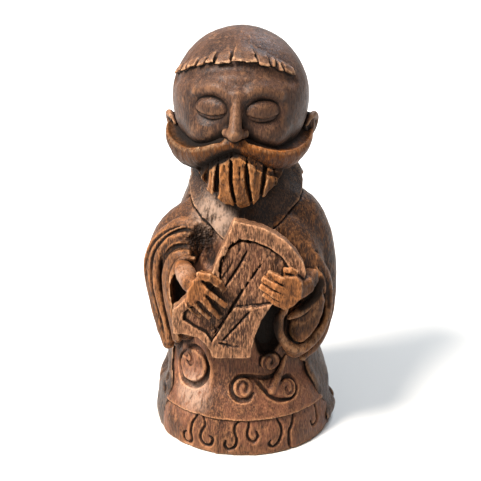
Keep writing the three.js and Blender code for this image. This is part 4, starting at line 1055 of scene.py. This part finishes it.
# How far off the surface these are read, and how soft the border of a painted place is, in mm.
READ_OFF = 0.25
PAINT_BORDER = 1.2
fine = blurred(filled, EDGE_BLUR / STEP)
counts = [n // COARSE for n in filled.shape]
wide = filled[tuple(slice(n * COARSE) for n in counts)]
wide = wide.reshape(counts[0], COARSE, counts[1], COARSE, counts[2], COARSE).mean((1, 3, 5))
wide = blurred(wide, HOLLOW_BLUR / (COARSE * STEP))


def sampled(values, index):
    """Trilinear samples of a grid at fractional indices."""
    index = np.clip(index, 0, np.array(values.shape) - 1.001)
    low = index.astype(int)
    part = (index - low).T
    out = 0
    for corner in CORNERS:
        out = out + corner_share(part, corner) * values[tuple((low + corner).T)]
    return out


def painted(form, place):
    """How strongly a form is painted at these places: 1 inside, 0 outside, soft at its border."""
    return np.clip(0.5 - form(place) / PAINT_BORDER, 0, 1)


def mesh_of(name, first, block):
    """A mesh of the block's surface, with what the stain, the wear and the painted light and shade need to
    know at each vertex.
    """
    grid = openvdb.FloatGrid()
    grid.background = float(BAND)
    grid.copyFromArray(block.astype(np.float64))
    points, quads = grid.convertToQuads()
    index = points + first
    corners = index[quads[:, :3]]
    normal = np.cross(corners[:, 1] - corners[:, 0], corners[:, 2] - corners[:, 0])
    volume = (corners[:, 0] * normal).sum()
    if volume < 0:
        quads = quads[:, ::-1]
    mesh = bpy.data.meshes.new(name)
    mesh.vertices.add(len(points))
    mesh.vertices.foreach_set("co", (index * STEP * MM).astype(np.float32).ravel())
    mesh.loops.add(quads.size)
    mesh.loops.foreach_set("vertex_index", quads.astype(np.int32).ravel())
    mesh.polygons.add(len(quads))
    mesh.polygons.foreach_set("loop_start", np.arange(0, quads.size, 4, dtype=np.int32))
    mesh.update()
    mesh.validate()
    mesh.shade_smooth()
    normals = np.zeros(len(points) * 3, np.float32)
    mesh.vertices.foreach_get("normal", normals)
    at = index - grid_low + normals.reshape(-1, 3) * (READ_OFF / STEP)
    place = tuple((index * STEP).astype(np.float32).T)
    # The first two measure the cuts and hollows for the stain, the wear and the painted shade; the third
    # marks painted shade; the fourth marks wear and painted highlights.
    stain = {"carve": sampled(fine, at), "hollow": sampled(wide, (at - (COARSE - 1) / 2) / COARSE),
             "painted_shade": painted(painted_shade_places, place), "worn": painted(worn_and_lit_edges, place)}
    for attribute, values in stain.items():
        layer = mesh.attributes.new(attribute, "FLOAT", "POINT")
        layer.data.foreach_set("value", values.astype(np.float32))
    return mesh


# The stained wood.

# The darkest colour serves for stain, pores and painted shade; the bare wood of the edges also serves as a
# painted highlight; the pale colour is a painted highlight.
DARK_STAIN_AND_SHADE = (0.005, 0.003, 0.002)
BARE_WOOD_HIGHLIGHT = (0.66, 0.42, 0.24)
PAINTED_HIGHLIGHT_WOOD = (0.50, 0.34, 0.25)
# Per finish: stain, body and worn colours, roughness, and how coarse the grain is.
FINISHES = {
    "robe_wood": ((0.038, 0.017, 0.011), (0.188, 0.074, 0.041), (0.50, 0.225, 0.100), 0.40, 1.0),
    "cloak_wood": ((0.010, 0.006, 0.005), (0.035, 0.019, 0.014), (0.32, 0.160, 0.080), 0.40, 1.0),
    "sleeve_wood": ((0.013, 0.006, 0.004), (0.046, 0.020, 0.011), (0.40, 0.165, 0.062), 0.40, 1.2),
    "skin_wood": ((0.024, 0.010, 0.005), (0.098, 0.036, 0.015), (0.43, 0.165, 0.054), 0.46, 1.3),
    "hair_wood": ((0.022, 0.009, 0.004), (0.086, 0.032, 0.012), (0.46, 0.180, 0.054), 0.44, 1.2),
    # The right lobe's finish is a darker copy of the left's: painted shade.
    "right_lobe_shaded_wood": ((0.010, 0.004, 0.001), (0.024, 0.008, 0.002), (0.15, 0.048, 0.009), 0.46, 1.1),
    "left_lobe_wood": ((0.020, 0.007, 0.002), (0.066, 0.018, 0.004), (0.40, 0.125, 0.022), 0.46, 1.1),
    "lyre_wood": ((0.024, 0.012, 0.008), (0.116, 0.049, 0.028), (0.52, 0.250, 0.125), 0.48, 1.8),
    "head_wood": ((0.018, 0.010, 0.008), (0.070, 0.034, 0.022), (0.32, 0.155, 0.078), 0.42, 0.7),
}

# Where painted highlights go, where the punch has been, and where painted shade goes: centre and reach, in
# mm.
PAINTED_HIGHLIGHT_PLACES = [((-23, -30, 26), 13), ((-12, -23, 101), 13), ((-23.4, -38, 81.6), 6.5)]
PUNCHED_PLACES = [((-17.6, -26, 92.4), 10.5)]
SHADY_PLACES = [((15.4, -26, 116.6), 11), ((27.5, -34, 75), 8)]


class Nodes:
    """A small helper to write a material's nodes as expressions."""

    def __init__(self, owner):
        owner.use_nodes = True
        self.tree = owner.node_tree
        self.shader = self.tree.nodes.get("Principled BSDF")

    def node(self, kind, **settings):
        n = self.tree.nodes.new(kind)
        for key, value in settings.items():
            setattr(n, key, value)
        return n

    def link(self, value, socket):
        if isinstance(value, bpy.types.NodeSocket):
            self.tree.links.new(value, socket)
        else:
            socket.default_value = value

    def math(self, operation, *values, clamp=False):
        n = self.node("ShaderNodeMath", operation=operation, use_clamp=clamp)
        for value, socket in zip(values, n.inputs):
            self.link(value, socket)
        return n.outputs[0]

    def ramp(self, value, low, high):
        """0 at low, 1 at high, smooth between."""
        n = self.node("ShaderNodeMapRange", interpolation_type="SMOOTHSTEP")
        self.link(value, n.inputs["Value"])
        n.inputs["From Min"].default_value = low
        n.inputs["From Max"].default_value = high
        return n.outputs["Result"]

    def mix(self, factor, a, b):
        n = self.node("ShaderNodeMix", data_type="RGBA")
        self.link(factor, n.inputs["Factor"])
        for value, socket in ((a, n.inputs[6]), (b, n.inputs[7])):
            self.link((*value, 1) if isinstance(value, tuple) else value, socket)
        return n.outputs[2]

    def times(self, a, b, clamp=False):
        return self.math("MULTIPLY", a, b, clamp=clamp)

    def fold(self, operation, first, *others):
        """One operation over many values, from the first on."""
        for other in others:
            first = self.math(operation, first, other)
        return first

    def plus(self, *values):
        return self.fold("ADD", *values)

    def most(self, *values):
        return self.fold("MAXIMUM", *values)

    def texture(self, kind, stretch, scale, **settings):
        """A texture in the piece's own place, drawn out along the grain by stretch."""
        mapping = self.node("ShaderNodeMapping")
        mapping.inputs["Scale"].default_value = stretch
        self.link(self.node("ShaderNodeTexCoord").outputs["Object"], mapping.inputs["Vector"])
        n = self.node(kind, **settings)
        self.link(mapping.outputs["Vector"], n.inputs["Vector"])
        n.inputs["Scale"].default_value = scale
        return n

    def noise(self, stretch, scale, detail=3.0, rough=0.55):
        n = self.texture("ShaderNodeTexNoise", stretch, scale)
        n.inputs["Detail"].default_value = detail
        n.inputs["Roughness"].default_value = rough
        return n.outputs["Fac"]

    def voronoi(self, stretch, scale, **settings):
        return self.texture("ShaderNodeTexVoronoi", stretch, scale, **settings).outputs["Distance"]

    def places(self, places):
        """1 at the middle of the nearest place, 0 beyond its reach."""
        coords = self.node("ShaderNodeTexCoord").outputs["Object"]
        found = 0.0
        for centre, reach in places:
            away = self.node("ShaderNodeVectorMath", operation="DISTANCE")
            self.link(coords, away.inputs[0])
            away.inputs[1].default_value = [c * MM for c in centre]
            found = self.most(found, self.ramp(away.outputs["Value"], reach * MM, 0.3 * reach * MM))
        return found

    def shown(self):
        """1 on the rays that show the background: from the camera, off gloss and through glass."""
        path = self.node("ShaderNodeLightPath")
        return self.most(*[path.outputs[f"Is {kind} Ray"] for kind in ("Camera", "Glossy", "Transmission")])

    def attribute(self, name):
        return self.node("ShaderNodeAttribute", attribute_name=name).outputs["Fac"]


def stained_wood(name, stain, body, worn, roughness, grit):
    """Carved wood whose stain is dark in the cuts and rubbed thin on the edges, with painted shade in the
    cuts and hollows and painted highlights on edges and places.
    """
    material = bpy.data.materials.new(name)
    n = Nodes(material)
    carve, hollow, painted_shade, worn_and_lit_here = [n.attribute(a) for a in ("carve", "hollow", "painted_shade", "worn")]
    patches = n.noise((1, 1, 0.6), 60, 3)
    grain = n.noise((1, 1, 0.06), 900, 4, 0.6)
    fibre = n.noise((1, 1, 0.12), 2600, 3, 0.6)
    blotch = n.noise((1, 1, 0.8), 230, 4, 0.65)
    mottle = n.noise((1, 1, 0.45), 620, 4, 0.7)
    pores = n.voronoi((1, 1, 0.35), 900)
    highlight_places, punched_here, shade = [n.places(p) for p in (PAINTED_HIGHLIGHT_PLACES, PUNCHED_PLACES, SHADY_PLACES)]

    # Stain pools in the cuts, and painted shade darkens the cuts, the hollows and the shaded places; handling
    # has rubbed the stain off the edges and the high places, with painted highlights on some of them.
    uneven = n.times(n.math("SUBTRACT", blotch, 0.5), 0.2)
    uneven = n.plus(uneven, n.times(n.math("SUBTRACT", mottle, 0.5), 0.2 * grit))
    cut_depth = n.plus(carve, uneven)
    height = n.math("SUBTRACT", 1, cut_depth)
    # Painted shade and pooled stain in the narrow cuts.
    cut_stain_and_shade = n.ramp(cut_depth, 0.42, 0.56)
    # Painted shade in the hollows, between parts and under them.
    hollow_shade = n.ramp(n.plus(hollow, uneven), 0.49, 0.64)
    # Stain in the punch marks and painted shade in the chest's hollow.
    punch_stain_and_shade = n.times(punched_here, n.ramp(mottle, 0.70, 0.46))
    # All the darkening together: stain and painted shade.
    stain_and_shade = n.most(cut_stain_and_shade, hollow_shade, punch_stain_and_shade, n.times(shade, 0.85), painted_shade)
    raised = n.ramp(n.plus(hollow, n.times(uneven, 0.6)), 0.43, 0.27)
    # Wear and a painted highlight at the listed rims.
    handled_and_lit = n.times(worn_and_lit_here, n.ramp(mottle, 0.36, 0.56))
    rubbed_and_lit = n.most(n.ramp(height, 0.635, 0.73), n.times(raised, 0.4), handled_and_lit)
    rubbed_and_lit = n.times(rubbed_and_lit, n.ramp(blotch, 0.25, 0.6))
    tone = n.mix(n.ramp(patches, 0.40, 0.60), stain, body)
    # The tones over the ground, in turn: what each follows, from where to where, how strong, its colour.
    tones = [
        (grain, 0.44, 0.60, 0.55, body),
        (blotch, 0.53, 0.68, 0.34, worn),
        (mottle, 0.52, 0.38, 0.75, stain),
        (fibre, 0.50, 0.64, 0.3 * grit, worn),
        (grain, 0.58, 0.70, 0.3 * grit, worn),
    ]
    for texture, low, high, strength, colour in tones:
        tone = n.mix(n.times(n.ramp(texture, low, high), strength), tone, colour)
    rubbed_and_lit = n.times(rubbed_and_lit, n.ramp(fibre, 0.30, 0.50))
    tone = n.mix(n.times(rubbed_and_lit, 0.9), tone, worn)
    # The sharpest edges and the listed rims go pale: bare wood and a painted highlight.
    edge_wear_and_highlight = n.most(n.ramp(height, 0.68, 0.80), n.times(worn_and_lit_here, 0.55))
    bare_and_highlight = n.times(edge_wear_and_highlight, n.ramp(mottle, 0.40, 0.58))
    nearly_bare_highlight = tuple((stained + clean) / 2 for stained, clean in zip(worn, BARE_WOOD_HIGHLIGHT))
    tone = n.mix(n.times(bare_and_highlight, 0.75), tone, nearly_bare_highlight)
    # Painted highlights at the listed places, broken up by the grain.
    highlight_breakup = n.plus(n.times(grain, 0.5), n.times(blotch, 0.5))
    painted_highlight = n.times(highlight_places, n.ramp(highlight_breakup, 0.36, 0.56))
    tone = n.mix(n.times(painted_highlight, 0.6), tone, PAINTED_HIGHLIGHT_WOOD)
    scratch = n.times(n.ramp(fibre, 0.44, 0.34), n.ramp(patches, 0.35, 0.6))
    tone = n.mix(n.times(scratch, 0.5 * grit, clamp=True), tone, DARK_STAIN_AND_SHADE)
    tone = n.mix(n.times(stain_and_shade, 0.95), tone, DARK_STAIN_AND_SHADE)
    tone = n.mix(n.times(n.ramp(pores, 0.22, 0.08), 0.55), tone, DARK_STAIN_AND_SHADE)
    n.link(tone, n.shader.inputs["Base Color"])

    sheen = n.plus(roughness - 0.1, n.times(grain, 0.2), n.times(stain_and_shade, 0.3))
    n.link(sheen, n.shader.inputs["Roughness"])
    n.shader.inputs["Specular IOR Level"].default_value = 0.14

    chisel = n.voronoi((1, 1, 0.6), 170, feature="SMOOTH_F1")
    punch = n.voronoi((1, 1, 1), 1100)
    relief = n.plus(n.times(grain, 0.5), n.times(fibre, 0.3), n.times(mottle, 0.6),
                    n.times(n.ramp(pores, 0.0, 0.25), 0.35), n.times(chisel, 0.8),
                    n.times(punched_here, n.times(punch, 1.2)))
    bump = n.node("ShaderNodeBump")
    bump.inputs["Strength"].default_value = min(1.0, 0.65 * grit)
    bump.inputs["Distance"].default_value = 0.0007
    n.link(relief, bump.inputs["Height"])
    n.link(bump.outputs["Normal"], n.shader.inputs["Normal"])
    return material


finishes = {finish: stained_wood("stained_" + finish, *values) for finish, values in FINISHES.items()}

for slot, finish, _, forms in GROUPS:
    for node in forms:
        name = "carved_" + node
        piece = bpy.data.objects.new(name, mesh_of(name, *blocks[node]))
        bpy.context.scene.collection.objects.link(piece)
        piece.data.materials.append(finishes[finish])
        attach(piece, "root")
        # The nose is carved on the head's own piece.
        nodes = ["head", "nose"] if node == "head" else [node]
        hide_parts(*nodes)

# Stage, light and camera.

FLOOR_SIZE = 8.0
floor_mesh = bpy.data.meshes.new("floor")
floor_corners = [(x * FLOOR_SIZE / 2, y * FLOOR_SIZE / 2, 0) for x, y in ((-1, -1), (1, -1), (1, 1), (-1, 1))]
floor_mesh.from_pydata(floor_corners, [], [(0, 1, 2, 3)])
floor = bpy.data.objects.new("floor", floor_mesh)
bpy.context.scene.collection.objects.link(floor)
floor.location.z = -0.0002

paper = bpy.data.materials.new("pale_paper")
n = Nodes(paper)
seen = n.shown()
n.link(n.mix(seen, (0.3, 0.3, 0.3), (0.80, 0.757, 0.705)), n.shader.inputs["Base Color"])
n.shader.inputs["Roughness"].default_value = 0.9
n.shader.inputs["Specular IOR Level"].default_value = 0.1
glow = n.node("ShaderNodeEmission")
glow.inputs["Color"].default_value = (1, 1, 1, 1)
place = n.node("ShaderNodeNewGeometry").outputs["Position"]
away = n.node("ShaderNodeVectorMath", operation="LENGTH")
n.link(place, away.inputs[0])
far_off = n.ramp(away.outputs["Value"], 0.07, 0.5)
n.link(n.times(seen, n.times(far_off, 0.7)), glow.inputs["Strength"])
added = n.node("ShaderNodeAddShader")
n.tree.links.new(n.shader.outputs[0], added.inputs[0])
n.tree.links.new(glow.outputs[0], added.inputs[1])
n.tree.links.new(added.outputs[0], n.tree.nodes["Material Output"].inputs["Surface"])
floor_mesh.materials.append(paper)

world = bpy.data.worlds.new("soft_studio")
bpy.context.scene.world = world
n = Nodes(world)
background = n.tree.nodes["Background"]
n.link(n.mix(n.shown(), (0.135, 0.13, 0.124), (1.0, 1.0, 1.0)), background.inputs["Color"])
background.inputs["Strength"].default_value = 1.0

# The lamps: name, place, diameter, power and colour. All shine at the figure's middle.
LAMPS = [
    ("key", (-0.66, -0.54, 1.04), 0.46, 44, (1.0, 0.96, 0.91)),
    ("sky", (0.42, 0.5, 1.0), 0.6, 11, (0.72, 0.85, 1.0)),
    ("top", (0.0, -0.25, 1.2), 0.7, 3, (1.0, 0.98, 0.95)),
]
MIDDLE = Vector((0, 0, 0.088))


def area_light(name, place, size, power, colour):
    data = bpy.data.lights.new(name, "AREA")
    data.shape = "DISK"
    data.size = size
    data.energy = power
    data.color = colour
    lamp = bpy.data.objects.new(name, data)
    bpy.context.scene.collection.objects.link(lamp)
    lamp.location = place
    lamp.rotation_euler = (MIDDLE - Vector(place)).to_track_quat("-Z", "Y").to_euler()


for lamp in LAMPS:
    area_light(*lamp)

# The photograph's camera: half a metre away, 21 degrees above the horizon.
DISTANCE = 0.5
ELEVATION = math.radians(21)
AIM = Vector((-0.0015, 0, 0.0823))
camera = bpy.data.cameras.new("camera")
camera.sensor_width = 36
camera.lens = 87.94
camera.clip_start = 0.01
camera.clip_end = 30
camera_object = bpy.data.objects.new("camera", camera)
bpy.context.scene.collection.objects.link(camera_object)
back = Vector((0, -math.cos(ELEVATION), math.sin(ELEVATION)))
camera_object.location = AIM + back * DISTANCE
camera_object.rotation_euler = (-back).to_track_quat("-Z", "Y").to_euler()
bpy.context.scene.camera = camera_object
bpy.context.scene.view_settings.view_transform = "Standard"
